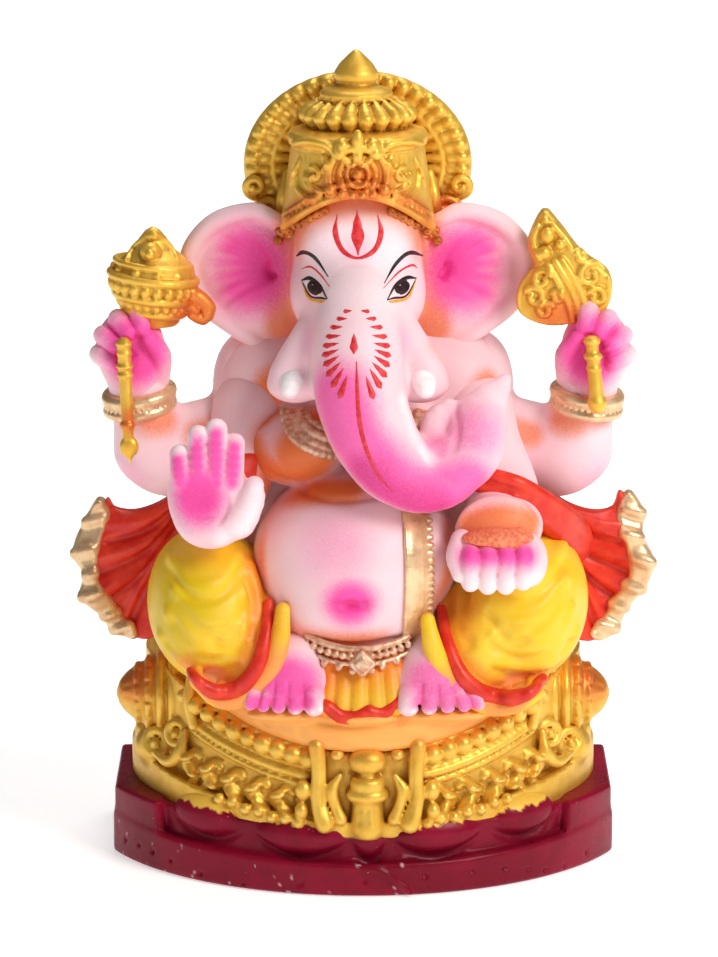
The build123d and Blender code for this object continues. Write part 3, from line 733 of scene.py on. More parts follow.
class IDOL_OT_face_marks(bpy.types.Operator):
    """Brush on the brows, eyes, forehead mark and the petals on the trunk"""
    bl_idname = "idol.face_marks"
    bl_label = "Face marks"

    def execute(self, context):
        clay = KEPT["head"]
        x = MID
        black, red, white, ochre = [], [], [], []
        # brows, each with a thin red line beneath
        black.append(stroke(clay, [(-16.0, 151.0), (-14.2, 152.7), (-11.6, 151.9), (-8.3, 148.0)],
                            [0.4, 1.3, 1.2, 0.3]))
        black.append(stroke(clay, [(14.4, 150.6), (11.2, 152.7), (8.1, 150.9), (5.0, 146.8)], [0.4, 1.4, 1.2, 0.3]))
        red.append(stroke(clay, [(-14.8, 148.5), (-12.6, 149.5), (-10.3, 148.3), (-8.0, 146.1)],
                          [0.2, 0.6, 0.55, 0.2]))
        red.append(stroke(clay, [(13.0, 148.5), (11.6, 149.5), (8.7, 148.7), (4.8, 145.8)], [0.2, 0.7, 0.6, 0.2]))
        for left, right in (((-14.7, 146.1), (-8.6, 143.4)), ((12.7, 146.4), (5.7, 143.2))):
            mx, mz = (left[0] + right[0]) / 2, (left[1] + right[1]) / 2
            white.append(stroke(clay, [left, (mx, mz + 0.2), right], [0.4, 3.5, 0.4], 0.12))
            black.append(stroke(clay, [left, (mx + (left[0] - mx) * 0.35, mz + 2.2),
                    (mx + (right[0] - mx) * 0.4, mz + 1.2), right], [0.4, 1.0, 0.8, 0.35], 0.26))
            black.append(stroke(clay, [left, (mx + (left[0] - mx) * 0.3, mz - 1.75),
                    (mx + (right[0] - mx) * 0.6, mz - 1.5), right], [0.25, 0.55, 0.6, 0.3], 0.2))
            ochre.append(stroke(clay, [(left[0] * 0.96 + mx * 0.04, left[1] - 0.6),
                    (mx + (left[0] - mx) * 0.4, mz - 2.3), (mx + (right[0] - mx) * 0.5, mz - 2.3),
                    (right[0] * 0.9 + mx * 0.1, right[1] - 0.4)], [0.3, 0.8, 0.8, 0.3], 0.16))
            px = mx + 0.1
            turns = [radians(15 * n) for n in range(13)]
            black.append(stroke(clay, [(px - 1.8 * cos(a), mz + 0.35) for a in turns],
                                [0.1 + 3.5 * sin(a) for a in turns], 0.24, 7, 0.2))
            white.append(stroke(clay, [(px - 0.7, mz + 0.9), (px - 0.5, mz + 0.95), (px - 0.3, mz + 0.9)],
                                [0.1, 0.3, 0.1], 0.3))
        # forehead mark: a U round a flame
        red.append(stroke(clay, [(-6.2, 162.4), (-6.6, 158.2), (-4.9, 154.2), (x, 152.5), (2.6, 154.2), (4.2, 158.2),
                (3.4, 162.4)], [0.3, 1.7, 1.5, 0.8, 1.5, 1.7, 0.3]))
        red.append(stroke(clay, [(x - 0.2, 163.4), (x - 0.1, 160.0), (x, 157.4), (x + 0.1, 153.2)],
                          [0.2, 2.6, 3.8, 0.5], 0.17))
        # petals fanned round a drop on the trunk
        red.append(stroke(clay, [(-2.2, 136.6), (-2.2, 135.2), (-2.2, 133.6), (-2.2, 132.2)], [0.2, 1.5, 2.4, 0.6],
                          0.17))
        petals = (((-2.7, 141.5), (-4.7, 141.2)), ((-3.8, 139.8), (-6.3, 139.6)), ((-4.8, 138.0), (-7.8, 137.6)),
                  ((-5.3, 136.1), (-8.9, 135.4)), ((-5.7, 134.4), (-9.6, 133.2)), ((-5.8, 133.0), (-9.8, 131.0)),
                  ((-5.7, 131.6), (-9.5, 128.8)), ((-5.3, 130.2), (-8.8, 126.5)), ((-4.7, 128.8), (-7.5, 124.1)),
                  ((-3.8, 127.2), (-5.7, 121.8)))
        for side in (-1, 1):
            for n, (inner, outer) in enumerate(petals):
                spots = [(-1.6 - side * ((inner[0] + (outer[0] - inner[0]) * t) + 1.6),
                          inner[1] + (outer[1] - inner[1]) * t) for t in (0, 0.4, 0.8, 1.0)]
                wide = 1.0 + 0.08 * n
                red.append(stroke(clay, spots, [0.15, 0.75 * wide, 1.15 * wide, 0.3], 0.15, 5, 0.3))
        # the red line down the trunk
        red.append(stroke(clay, [(-1.6, 130.5), (-1.4, 124), (-0.9, 117), (0.6, 110.5), (3.2, 104.5), (7.0, 99.5)],
                          [0.35, 1.2, 1.4, 1.3, 0.9, 0.25]))
        for name, parts, paint_name in (("brows_and_eyes", black, "black"), ("red_marks", red, "mark"),
                ("eye_whites", white, "white"), ("eye_underlines", ochre, "ochre")):
            finish(strokes(name, parts), "skin", paint_name)
        return {"FINISHED"}


# ---------------------------------------------------------------- base and throne
def plan(radius, centre_y, half_width, back):
    """The half-round plan of the base, as a distance in x and y."""
    def distance(x, y):
        round_front = np.sqrt(x * x + (y - centre_y) ** 2) - radius
        return np.maximum(np.maximum(round_front, np.abs(x) - half_width), y - back)
    return distance


def drop(centre, rise, x):
    """The throne's bands droop at the front."""
    return centre + rise * (x / 40.0) ** 2


class IDOL_OT_plinth(bpy.types.Operator):
    """Model the enamelled plinth with its lobes and corner blocks"""
    bl_idname = "idol.plinth"
    bl_label = "Plinth"

    def execute(self, context):
        clay = Clay((-63, -42, -1), (63, 41, 25), 0.6)
        outer, inner = plan(FOOT_R, FRONT_Y, 61.6, 39.5), plan(COURSE_R, FRONT_Y, 58.8, 38)

        def tiers(x, y, z):
            band_top = 8.2 + 1.5 * (np.abs(x) / 47) ** 2
            band = np.maximum(outer(x, y) + 0.12 * np.maximum(z - band_top + 1.0, 0) ** 2, z - band_top)
            course = np.maximum(inner(x, y), z - 16.6)
            block = np.maximum(np.maximum(outer(x, y) + 0.4, z - 17.4), 48.4 - np.abs(x) + 0.05 * (z - 8))
            return np.maximum(np.minimum(np.minimum(band, course), block), 0.15 - z)

        clay.add([(np.array((-62, -41, 0)), np.array((62, 40, 22)), tiers)], 0.1)
        # soften the block's arrises
        soft = clay.hollow(1.1)
        clay.field = (0.25 * clay.field + 0.75 * soft).astype(np.float32)
        for x, wide in ((-37.4, 10.2), (-14.6, 12.6), (1.4, 5.0), (17.4, 12.0), (38.4, 9.4)):
            y = FRONT_Y - sqrt(COURSE_R ** 2 - x * x)
            mid = 12.6 + 2.6 * (x / 38) ** 2
            clay.add(blob((x, y + 3.0, mid + 0.6), (wide, 4.6, 5.2), (0, 0, x * 0.95)), 0.5)
            arc = [(x + wide * t, FRONT_Y - sqrt(COURSE_R ** 2 - (x + wide * t) ** 2) - 0.5, mid - 4.6 + 5.4 * t * t)
                   for t in (-0.92, -0.5, 0, 0.5, 0.92)]
            clay.cut(rope(arc, [0.6, 1.2, 1.4, 1.2, 0.6]), 0.5)
        for x in (-48.8, 48.8):
            y = FRONT_Y - sqrt((FOOT_R - 0.8) ** 2 - x * x)
            clay.cut(rope([(x, y + 1.2, 20), (x * 1.005, y + 0.4, 14.5), (x, y + 0.7, 9.2)], [1.6, 1.5, 0.3]), 0.6)
        # rough spots along the foot and a run in the enamel
        for n in range(1, 46, 3):
            a = radians(-68 + 3.0 * n + 7 * sin(n * 2.3))
            spot = (67.2 * sin(a), 27.7 - 67.4 * cos(a), 1.0 + 4.0 * abs(sin(n * 5.1)))
            if abs(spot[0]) < 60:
                clay.cut(blob(spot, (0.5 + 0.7 * abs(sin(n * 3.7)), 0.5, 0.45)), 0.3)
        clay.add(rope([(-4, -39.4, 7.2), (4, -39.9, 6.6), (8, -39.8, 3.4), (11.5, -39.6, 0.8)], 0.55), 0.5)
        clay.keep([(0, 0, lambda x, y, z: 0.02 - z)])
        # underside hollow
        clay.cut([(np.array((-54, -30, -1)), np.array((54, 33, 14)), lambda x, y,
                   z: np.maximum(plan(54, 23.6, 54.5, 33)(x, y), z - 13.5))], 0.4)

        def chips(p):
            dots = np.zeros(len(p))
            for n in range(40):
                a = radians(-72 + 2.1 * n + 9 * sin(n * 1.7))
                centre = np.array((67.4 * sin(a), 27.7 - 67.4 * cos(a), 0.6 + 8.5 * abs(sin(n * 2.9)) ** 2))
                size = 0.22 + 0.3 * abs(sin(n * 4.3)) ** 3
                dots = np.maximum(dots, np.clip((size - np.linalg.norm(p - centre, axis=1)) / 0.15, 0, 1))
            return 0.8 * dots

        def spill(p):
            edge = 16.3 + 2.6 * (np.abs(p[:, 0]) / 44) ** 2 + 0.35 * np.sin(p[:, 0] * 1.3) + 0.25 * np.sin(p[:,
                    0] * 3.1)
            return np.where(np.abs(p[:, 0]) < 46, (p[:, 2] > edge) * 1.0, 0)

        finish(clay.skin("plinth", [("chip", chips), ("spill", spill)]), "plinth_maroon", "maroon", "plinth",
               "plinth_lobes")
        return {"FINISHED"}


def flame_leaf(clay, x, z, size, side):
    """Three nested ribs that curl over at the top and trail away below."""
    for k in range(3):
        clay.ridge([(x + side * size * (-0.5 + 0.3 * k), z + size * (0.75 - 0.16 * k)),
                    (x + side * size * (0.12 + 0.27 * k), z + size * (0.62 - 0.2 * k)),
                    (x + side * size * (0.3 + 0.24 * k), z), (x + side * size * (-0.15 + 0.27 * k), z - size * 0.5),
                    (x - side * size * (0.5 - 0.2 * k), z - size * (0.95 - 0.12 * k))], size * 0.19, 1.2, 0.25, 0.55)
    clay.bead(x - side * size * 0.42, z + size * 0.42, size * 0.24, 1.1)


def curl_leaf(clay, x, z, size, side, out=0.9):
    """An acanthus curl: a spiral head with two trailing ribs."""
    turn = [(x + side * size * 0.62 * (1 - t) * cos(1.2 + 5.6 * t), z + size * 0.62 * (1 - t) * sin(1.2 + 5.6 * t))
            for t in np.linspace(0, 0.82, 9)]
    clay.ridge(turn, size * 0.2, out, 0.25, 0.6)
    clay.bead(x, z, size * 0.2, out * 0.8)
    for k, reach in ((0.0, 1.25), (0.35, 1.0)):
        clay.ridge([(x + side * size * (0.62 - k * 0.6), z + size * 0.1), (x + side * size * (0.45 - k),
                z - size * 0.7), (x - side * size * (0.35 + k), z - size * reach)], size * 0.17, out * 0.8, 0.25, 0.5)


class IDOL_OT_throne(bpy.types.Operator):
    """Model the gold throne with its beads, rail, leaves, crest and side bolsters"""
    bl_idname = "idol.throne"
    bl_label = "Throne"

    def execute(self, context):
        clay = Clay((-63, -41, 13.5), (63, 39, 53), 0.55)
        face = plan(54.0, 20, 60, 36)

        def body(x, y, z):
            top = drop(34.2, 9.5, x)
            return np.maximum(np.maximum(face(x, y), z - np.minimum(top, 49)), 14.6 - z)

        clay.add([(np.array((-55, -35, 14)), np.array((55, 36, 49)), body)], 0.1)
        foot = plan(57.6, 20.5, 58.5, 37)
        clay.add([(np.array((-59, -38, 14)), np.array((59, 37, 26)), lambda x, y,
                   z: np.maximum(foot(x, y), z - 17.4 - 7.5 * np.clip((np.abs(x) - 4) / 50, 0, 1) ** 1.5))], 1.2)
        # side skirts behind the corner blocks
        for side in (-1, 1):
            clay.add(slab((side * 48, 22, 25), (8.5, 15, 7), 3), 1.5)
            clay.add(blob((side * 51.0, 2, 27.0), (5.4, 7, 4.6)), 2)
            clay.add(hoop((side * 50.6, -4.0, 29.0), 3.0, 1.3, (76, 0, side * 30)),
                     0.4).add(blob((side * 50.8, -4.4, 29.0), (1.3, 1.3, 1.3)), 0.4)
        # rail beneath the beads
        for side in (-1, 1):
            spots = [(side * x, drop(27.2, 9.4, x)) for x in (13.5, 22, 30, 37, 42)]
            clay.ridge(spots, 1.25, 1.7, 0.4, 0.7)
            clay.ridge([(x, z - 2.4) for x, z in spots], 0.7, 0.9, 0.3, 0.7)
            clay.ridge([(x, z + 2.0) for x, z in spots], 0.6, 0.8, 0.3, 0.7)
        # leaves along the foot
        for side in (-1, 1):
            for n, x in enumerate((18.6, 24.8, 30.8, 36.2, 41.2)):
                z = drop(20.2, 6.2, x)
                clay.add(blob((side * x, clay.front(side * x, z, -30) + 0.8, z - 0.2), (3.0, 1.9, 4.0),
                              (0, side * 24, side * x)), 0.5)
                flame_leaf(clay, side * x, z + 0.4, 4.5 - 0.12 * n, side)
            for n in range(9):
                x = 15.5 + 3.2 * n
                clay.bead(side * x, drop(16.4, 5.6, x) + 0.5 * (n % 2), 1.5, 1.1)
        # crest: stacked bosses, a bell and two posts
        x = 1.0
        front = -35.5
        clay.add(blob((x, front, 32.6), (4.6, 3.6, 3.4)), 0.3).add(blob((x, front - 0.4, 27.2), (4.2, 3.8, 3.0)), 0.3)
        clay.add(blob((x, front - 0.3, 24.4), (5.2, 4.2, 2.4)), 0.8)
        clay.add(bar((x, front + 0.4, 24), (x, front, 16.4), 3.4, 4.2), 0.8)
        clay.score([(x - 4.4, 29.8), (x, 29.3), (x + 4.4, 29.8)], 0.7, 0.5, 0.4)
        for turn in (-2.0, 0, 2.0):
            clay.score([(x + turn * 0.8, 22.6), (x + turn, 17.2)], 0.45, 0.35, 0.3)
        for side in (-1, 1):
            clay.add(rope([(x + side * 12.2, -34.8, 36.2), (x + side * 11.6, -35.6, 30), (x + side * 11.8, -36.2, 23),
                           (x + side * 10.2, -37, 17.4)], [2.0, 1.8, 1.8, 2.3]), 0.5)
            clay.add(rope([(x + side * 6.6, -35.6, 29), (x + side * 8.6, -36, 25.5), (x + side * 7.6, -36.4, 21.5),
                           (x + side * 6.4, -36.8, 18.5)], [0.8, 1.6, 1.3, 1.6]), 0.4)
            clay.add(blob((x + side * 7.2, -35, 34), (1.8, 1.8, 1.5)), 0.4)
            clay.add(blob((x + side * 15.3, -34.6, 25.2), (2.1, 2.2, 2.6)), 0.4).add(blob((x + side * 15.8, -35.2,
                    20.2), (1.7, 2.0, 2.3)), 0.4)
            clay.score([(x + side * 10.7, 35.0), (x + side * 10.6, 27), (x + side * 10.4, 19)], 0.4, 0.3, 0.3)
        # corner curls under the bolsters
        for side in (-1, 1):
            clay.add(hoop((side * 45.4, -10.5, 33.0), 2.7, 1.15, (80, 0, side * 34)), 0.3)
            clay.add(blob((side * 45.6, -10.8, 33.0), (1.3, 1.3, 1.3)), 0.3)
            clay.add(rope([(side * 43.6, -13.8, 34.5), (side * 44.6, -14.6, 29), (side * 47.5, -12.0, 26.2),
                           (side * 51.2, -7.5, 27.4)], [0.8, 1.6, 1.5, 0.8]), 0.5)
            clay.add(rope([(side * 41.2, -18.4, 37), (side * 42.2, -17.2, 43), (side * 41.6, -16.0, 48.6)],
                          [1.2, 1.5, 1.3]), 0.5)
        finish(clay.skin("throne", [("orange", lambda p: 0.3 * np.clip((p[:, 2] - drop(30.5, 9.5, p[:, 0])) / 5, 0,
                1))]), "gold", "gold", "throne_body", "throne_rail", "throne_scrolls", "throne_crest",
               "throne_pilasters")

        beads = Clay((-46, -39, 28), (46, 2, 52), 0.45)
        for side in (-1, 1):
            for n in range(10):
                a = radians(13.5 + 3.85 * n + 0.03 * n * n)
                bx = side * 56.2 * sin(a)
                size = 2.45 - 0.05 * n + 0.12 * sin(n * 2.6)
                by, bz = 20 - 54.6 * cos(a), drop(31.6, 10.0, bx)
                beads.add(blob((bx, by, bz), (size, size, size * (1.05 + 0.08 * sin(n * 4.1))),
                               (0, 9 * sin(n * 3.3), 0)), 0.15)
                beads.cut(blob((bx + side * 0.4, by - size * 1.05, bz - size * 0.6), (0.7, 0.5, 0.6)), 0.5)
            beads.add(rope([(side * x, 20 - sqrt(54.3 ** 2 - x * x) + 0.2, drop(34.2, 9.9, x))
                            for x in (12.6, 22, 30, 37, 41.5)], 0.8), 0.3)
        finish(beads.skin("throne_beads", [("orange", lambda p: 0.35 * np.clip((p[:, 2] - drop(31.8, 9.8,
                p[:, 0])) / 2, 0, 1))]), "gold", "gold", "throne_beads")

        for side, word in ((-1, "right"), (1, "left")):
            bud = Clay(*(((-63, -13, 24), (-36, 22, 54)) if side < 0 else ((36, -13, 24), (63, 22, 54))), 0.5)
            centre = Vector((side * 44, 3.5, 39.8))

            def roll(x, y, z):
                along = np.clip((side * x - 38) / 22.6, 0, 1)
                wide = 10.9 * np.sqrt(np.clip(1 - along ** 2.1, 0, 1)) * (1 - 0.1 * along) + 0.3
                end = np.maximum(38 - side * x, side * x - 60.7)
                return np.maximum(np.sqrt((y - centre.y) ** 2 + ((z - centre.z) * 0.97) ** 2) - wide, end) * 0.8

            bud.add([(np.array((38 if side > 0 else -61, -9, 27)), np.array((61 if side > 0 else -38, 16, 52)), roll)],
                    0.1)
            for reach, radius, thick in ((40.4, 10.9, 1.4), (43.4, 10.8, 0.8), (46.4, 10.5, 1.4), (49.6, 9.6, 1.1),
                    (52.6, 8.4, 1.0), (55.4, 6.9, 0.8)):
                bud.add(hoop((side * reach, centre.y, centre.z), radius, thick, (0, 90, 0)), 0.5)
            for n in range(26):
                a = 2 * pi * n / 26
                bud.add(blob((side * 45.0, centre.y + 10.7 * cos(a), centre.z + 10.9 * sin(a)), (0.9, 0.9, 0.9)), 0.3)
                if n % 2 == 0:
                    bud.add(blob((side * 42.0, centre.y + 11.0 * cos(a), centre.z + 11.2 * sin(a)), (1.2, 1.2, 1.2)),
                            0.3)
            for n in range(12):
                a = 2 * pi * n / 12
                bud.cut(rope([(side * 51.6, centre.y + 9.6 * cos(a), centre.z + 9.8 * sin(a)),
                              (side * 55.5, centre.y + 7.8 * cos(a), centre.z + 8 * sin(a)),
                              (side * 59, centre.y + 4 * cos(a), centre.z + 4 * sin(a))], [0.5, 0.5, 0.2]), 0.6)
            finish(bud.skin(word + "_bolster", [("orange", spray((side * 58, -3, 46), 3, 8))]), "gold", "gold",
                   word + "_bolster")
        return {"FINISHED"}


class IDOL_OT_seat(bpy.types.Operator):
    """Model the padded orange seat"""
    bl_idname = "idol.seat"
    bl_label = "Seat"

    def execute(self, context):
        clay = Clay((-51, -41, 32), (51, 39, 56), 0.6)
        rim = plan(47.6, 10.6, 47.6, 36)

        def pad(x, y, z):
            low, high = drop(34.6, 9.3, x), drop(41.6, 7.6, x)
            middle, half = (low + high) / 2, (high - low) / 2
            flat, deep = rim(x, y) + 2.6, np.abs(z - middle) - half + 2.6
            return np.sqrt(np.maximum(flat, 0) ** 2 + np.maximum(deep, 0) ** 2) + np.minimum(np.maximum(flat, deep),
                    0) - 2.6

        clay.add([(np.array((-48, -38, 33)), np.array((48, 36, 54)), pad)], 0.1)
        for n in range(9):
            x = -34 + 8.4 * n
            clay.cut(rope([(x, 10.6 - sqrt(48.6 ** 2 - x * x) - 0.4, drop(41.0, 7.6, x)),
                           (x + 2.2, 10.6 - sqrt(48.6 ** 2 - x * x) - 0.6, drop(37.4, 8.4, x))], 0.9), 1.4)
        for x, y, wide in ((-17, -32, 11), (19, -32, 11), (0, -34.5, 9)):
            clay.add(blob((x, y, 43.4), (wide, 4.4, 1.7)), 1.5)
        # Deeper orange under the feet and under the figure's right leg: painted shadow.
        feet = layered(spray_line([(-28, -38, 44), (-19, -39, 43), (-9, -39, 43)], 0.8, 2.6),
                       spray_line([(9, -39, 43), (20, -39, 43), (29, -38, 44)], 0.8, 2.6),
                       spray_line([(-44, -12, 46), (-42, -18, 45), (-40, -24, 44)], 1.5, 4))
        finish(clay.skin("seat_pad", [("orange", lambda p: 0.75 * feet(p))]), "seat_orange", "seat", "seat_pad")
        return {"FINISHED"}


# ---------------------------------------------------------------- body, legs and feet
class IDOL_OT_torso(bpy.types.Operator):
    """Model the torso with its chest, belly and back"""
    bl_idname = "idol.torso"
    bl_label = "Torso"

    def execute(self, context):
        clay = Clay((-40, -40, 43), (40, 36, 142), 0.7)
        clay.add(blob((0, 6, 60), (31, 23, 22)))
        clay.add(blob((0, 8, 88), (33, 19, 30)), 8)
        clay.add(blob((0, 6, 112), (32, 15, 19)), 8)
        clay.add(bar((-22, 5, 118), (22, 5, 118), 12.5), 8)
        clay.add(bar((-1.3, 3, 118), (-1.3, 1, 140), 13, 11), 6)
        clay.add(blob((-1.8, -13.5, 78.2), (24.8, 24.0, 21.0)), 1.6)
        clay.add(blob((-3.0, -19.0, 67.0), (19.5, 15.6, 11.0)), 5)
        for side in (-1, 1):
            clay.add(blob((side * 14 - 1, -9, 104.5), (13, 12.5, 9.6), (0, side * 10, 0)), 1.4)
            # gathered folds at the side of the waist
            for n in range(3):
                clay.add(rope([(side * (24 + n), -9 + 4 * n, 104 - 6 * n), (side * (28.5 + n), -2 + 3 * n, 97 - 6 * n),
                               (side * 30, 6, 88 - 6 * n)], [2.0, 2.6, 2.0]), 2.2)
        clay.score([(-24, 99.8), (-13, 95.4), (-2, 95.2), (9, 96.5)], 0.9, 0.6, 1.0)
        clay.score([(-7.2, 71.0), (-3.1, 70.6), (1.2, 71.2)], 0.9, 0.9, 0.9)
        clay.cut(blob((-3.1, clay.front(-3.1, 71) - 0.2, 71.2), (2.2, 1.8, 1.3)), 0.9)
        clay.score([(-15.5, 63.4), (-4, 60.4), (8, 61.4)], 0.8, 0.5, 1.0)
        # spine and shoulder blades
        clay.cut(rope([(0, 29.5, 60), (0, 29.0, 86), (0, 23.6, 112)], 2.2), 5)
        KEPT["torso"] = clay
        orange = layered(
            spray_line([(-20, -30, 61), (-10, -34, 60), (4, -35, 60)], 1.5, 5.0), spray((-14, -20, 104), 5, 6),
            spray_line([(-26, -14, 104), (-21, -19, 99), (-13, -22, 96.5), (-4, -24, 96)], 2.0, 6.0),
            spray_line([(-25, -10, 112), (-22, -10, 119), (-14, -10, 124)], 2.2, 5.0),
            spray((-13, -21, 105), 4.0, 7.0), spray((-10, -19, 112), 4.0, 7.0),
            spray_line([(-27, -22, 88), (-26.5, -24, 79), (-25, -26, 68), (-18, -32, 62)], 1.0, 4.0),
            spray_line([(24, -20, 88), (24, -24, 78), (21, -28, 68)], 2.0, 5.0),
            spray_line([(30, -6, 118), (26, -8, 110)], 1.5, 5))
        # Darker magenta in the navel's crease: deeper pink paint, with painted shade in the crease.
        deep = spray_line([(-6.5, -36.5, 71), (-3.1, -37.4, 70.8), (0.8, -37, 71.2)], 0.4, 2.6)
        pink = layered(spray((-3.1, -37, 71.6), 2.6, 5.4, (1.2, 1, 1.15)), lambda p: 0.35 * spray((-6, -33, 84), 3,
                10)(p))
        finish(clay.skin("torso", [("orange", lambda p: 0.95 * orange(p)), ("pink", pink),
                ("deep", lambda p: 0.5 * deep(p))]), "skin", "flesh", "torso")
        return {"FINISHED"}


class IDOL_OT_legs(bpy.types.Operator):
    """Model the trousered legs, their red hems, the pleats and the feet"""
    bl_idname = "idol.legs"
    bl_label = "Legs and feet"

    def execute(self, context):
        hems = {-1: [(-22.6, 69.8), (-23.4, 62.5), (-25.6, 55.6), (-30.2, 50.2), (-36.0, 50.0), (-41.2, 54.2)],
                1: [(18.8, 67.4), (20.2, 60.6), (24.0, 53.0), (30.6, 48.2), (37.5, 48.6), (43.2, 51.4)]}
        folds = {-1: [[(-46.5, 66), (-41, 58.5), (-33.5, 57.5), (-28.5, 63)],
                      [(-44.5, 72), (-38.5, 65), (-32, 65), (-28, 71)], [(-48.5, 60), (-43.5, 54.5), (-36, 53.6),
                (-30, 55.5)], [(-46, 78), (-40.5, 72.5), (-34, 73), (-29.5, 78)],
                [(-27.5, 76), (-25.6, 69), (-25.8, 62)], [(-36, 62), (-32.2, 61), (-30.5, 64.5)]],
                1: [[(49.5, 67), (44, 59), (36.5, 57.5), (30.5, 61)], [(48, 74), (42, 66), (35, 64.5), (29.5, 68)],
                    [(51, 60.5), (46, 53.5), (38, 52.4), (31, 54.5)], [(48, 80), (42, 73.5), (35.5, 72.5), (31, 76)],
                    [(24.5, 73), (23.6, 66), (25.4, 60)], [(39, 62.5), (35.2, 61), (33, 64)]]}
        for side, word in ((-1, "right"), (1, "left")):
            low, high = ((-56, -41, 43), (-14, 12, 88)) if side < 0 else ((13, -41, 43), (59, 12, 90))
            clay = Clay(low, high, 0.55)
            cx, cz = (-38.0, 66.0) if side < 0 else (40.2, 66.5)
            clay.add(blob((cx, -13, cz), (14.2, 21, 18.8), (0, side * 6, 0)))
            clay.add(blob((cx - side * 3, -12, cz + 1), (14, 20, 15)), 4)
            clay.add(blob((side * 27.5, -20, 57), (11, 14, 13), (0, side * 12, 0)), 5)
            clay.add(bar((side * 22, -12, 62), (side * 17, -2, 62), 10, 9), 4)
            for line in folds[side]:
                clay.score(line, 1.5, 0.75, 1.5)
                clay.ridge([(x + side * 0.3, z + 2.3) for x, z in line], 1.5, 0.35, 1.6)
            # the cuff's thick rim past the hem
            rim = [(x - side * 3.4, z - 0.8) for x, z in hems[side][:3]] + [(x - side * 1.2, z - 2.6) for x,
                    z in hems[side][3:]]
            spots = [(x, min(clay.front(x, z, -33), -31.2 - 2.5 * cos((z - 56) / 9)), z) for x, z in rim]
            clay.add(rope(spots, [1.8, 2.5, 2.8, 2.6, 2.3, 1.6]), 1.6)
            line = clay.on(hems[side], -0.3, 1.2, -34)
            clay.add(rope(line, 1.6, 5), 1.0)
            cuff = spray_line([(x - side * 3.6, y, z - 1.4) for x, y, z in line], 3.0, 2.0)
            # Orange on the inner thigh below the belly and beside the hem is painted shade, and the greener yellow on
            # the side of each knee away from the light is painted shade too; both are stronger on the figure's right
            # leg, the side in shadow.
            shade = layered(spray_line([(side * 20, -22, 80), (side * 23, -27, 72), (side * 22.5, -31, 64)], 1.5, 6.5),
                            spray_line([(x + side * 2.2, y, z + 2.0) for x, y, z in line], 0.6, 3.4),
                            spray((side * 24, -22, 77), 2, 7))
            green = layered(spray((cx - 4, -34, cz + 6), 4, 10), spray((cx - 8, -28, cz - 4), 3, 9))
            finish(clay.skin(word + "_leg", [("cuff", cuff), ("orange", lambda p: (0.75
                    if side < 0 else 0.55) * shade(p)), ("green", lambda p: (0.8 if side < 0 else 0.25) * green(p))]),
                   "yellow_cloth", "yellow", word + "_leg")
            line = clay.on(hems[side], 0.1, 1.0, -34)
            depths = np.convolve(np.pad([y for x, y, z in line], 4, mode="edge"), np.ones(9) / 9, "valid")
            band = Clay(low, high, 0.45)
            band.add(rope([(x, min(y, soft), z) for (x, y, z), soft in zip(line, depths)],
                          [1.2, 1.7, 2.0, 2.1, 2.0, 1.2], 3), 0.2)
            finish(band.skin(word + "_hem", (), 1.0), "red_cloth", "red", word + "_hem")

            # the foot, with five toes
            toes = {-1: ((-11.6, 2.9), (-16.2, 2.15), (-20.2, 2.0), (-23.9, 1.85), (-27.0, 1.65)),
                    1: ((10.8, 2.9), (15.8, 2.15), (20.2, 2.0), (24.2, 1.85), (27.6, 1.6))}[side]
            foot = Clay(*(((-32, -42, 42), (-6, -14, 66)) if side < 0 else ((5, -42, 42), (33, -14, 66))), 0.42)
            foot.add(blob((side * 17.0, -27, 54), (8.4, 9, 8.6), (0, -side * 12, 0)))
            foot.add(blob((side * 17.8, -31, 50), (10.4, 6.2, 5.2), (0, side * 7, 0)), 3)
            for n, (x, size) in enumerate(toes):
                tip_y = -37.6 + 0.45 * n
                foot.add(rope([(side * 17 + (x - side * 17) * 0.62, -31.5, 53.0 - 0.4 * n),
                               (side * 17 + (x - side * 17) * 0.9, -34.8, 49.2),
                               (x, tip_y + size * 0.5, 44.4 + size * 0.75 + 0.22 * n)],
                              [size * 0.8, size, size * 0.92]), 0.55)
                foot.add(blob((x, tip_y + 0.2, 45.6 + size * 0.6 + 0.2 * n), (size * 0.62, 0.7, size * 0.55),
                              (24, 0, 0)), 0.4)
            pink = layered(spray((side * 17.5, -36, 52.5), 3.4, 5.4, (1.25, 1, 1)),
                           spray_line([(side * 14, -38, 48), (side * 20, -38, 47.5), (side * 26, -37, 47)], 1.2, 3.0))
            # Darker magenta along the roots of the toes: deeper pink paint, with painted shade where the toes meet the
            # foot.
            deep = spray_line([(side * 14, -36, 51), (side * 19, -36, 50), (side * 24, -35, 49)], 0.2, 3.0)
            for (xa, _), (xb, _) in zip(toes[:-1], toes[1:]):
                gap = (xa + xb) / 2
                foot.score([(side * 17 + (gap - side * 17) * 0.8, 52.6), (gap, 45.6)], 0.5, 0.5, 0.4)
            finish(foot.skin(word + "_foot", [("pink", lambda p: (0.95 if side < 0 else 0.8) * pink(p)),
                    ("deep", lambda p: 0.35 * deep(p)), ("chalk", spray_line([(side * 10, -38, 46),
                    (side * 18, -38, 44.5), (side * 27, -37, 45)], 0.0, 1.3))], 1.2), "skin", "flesh", word + "_foot")

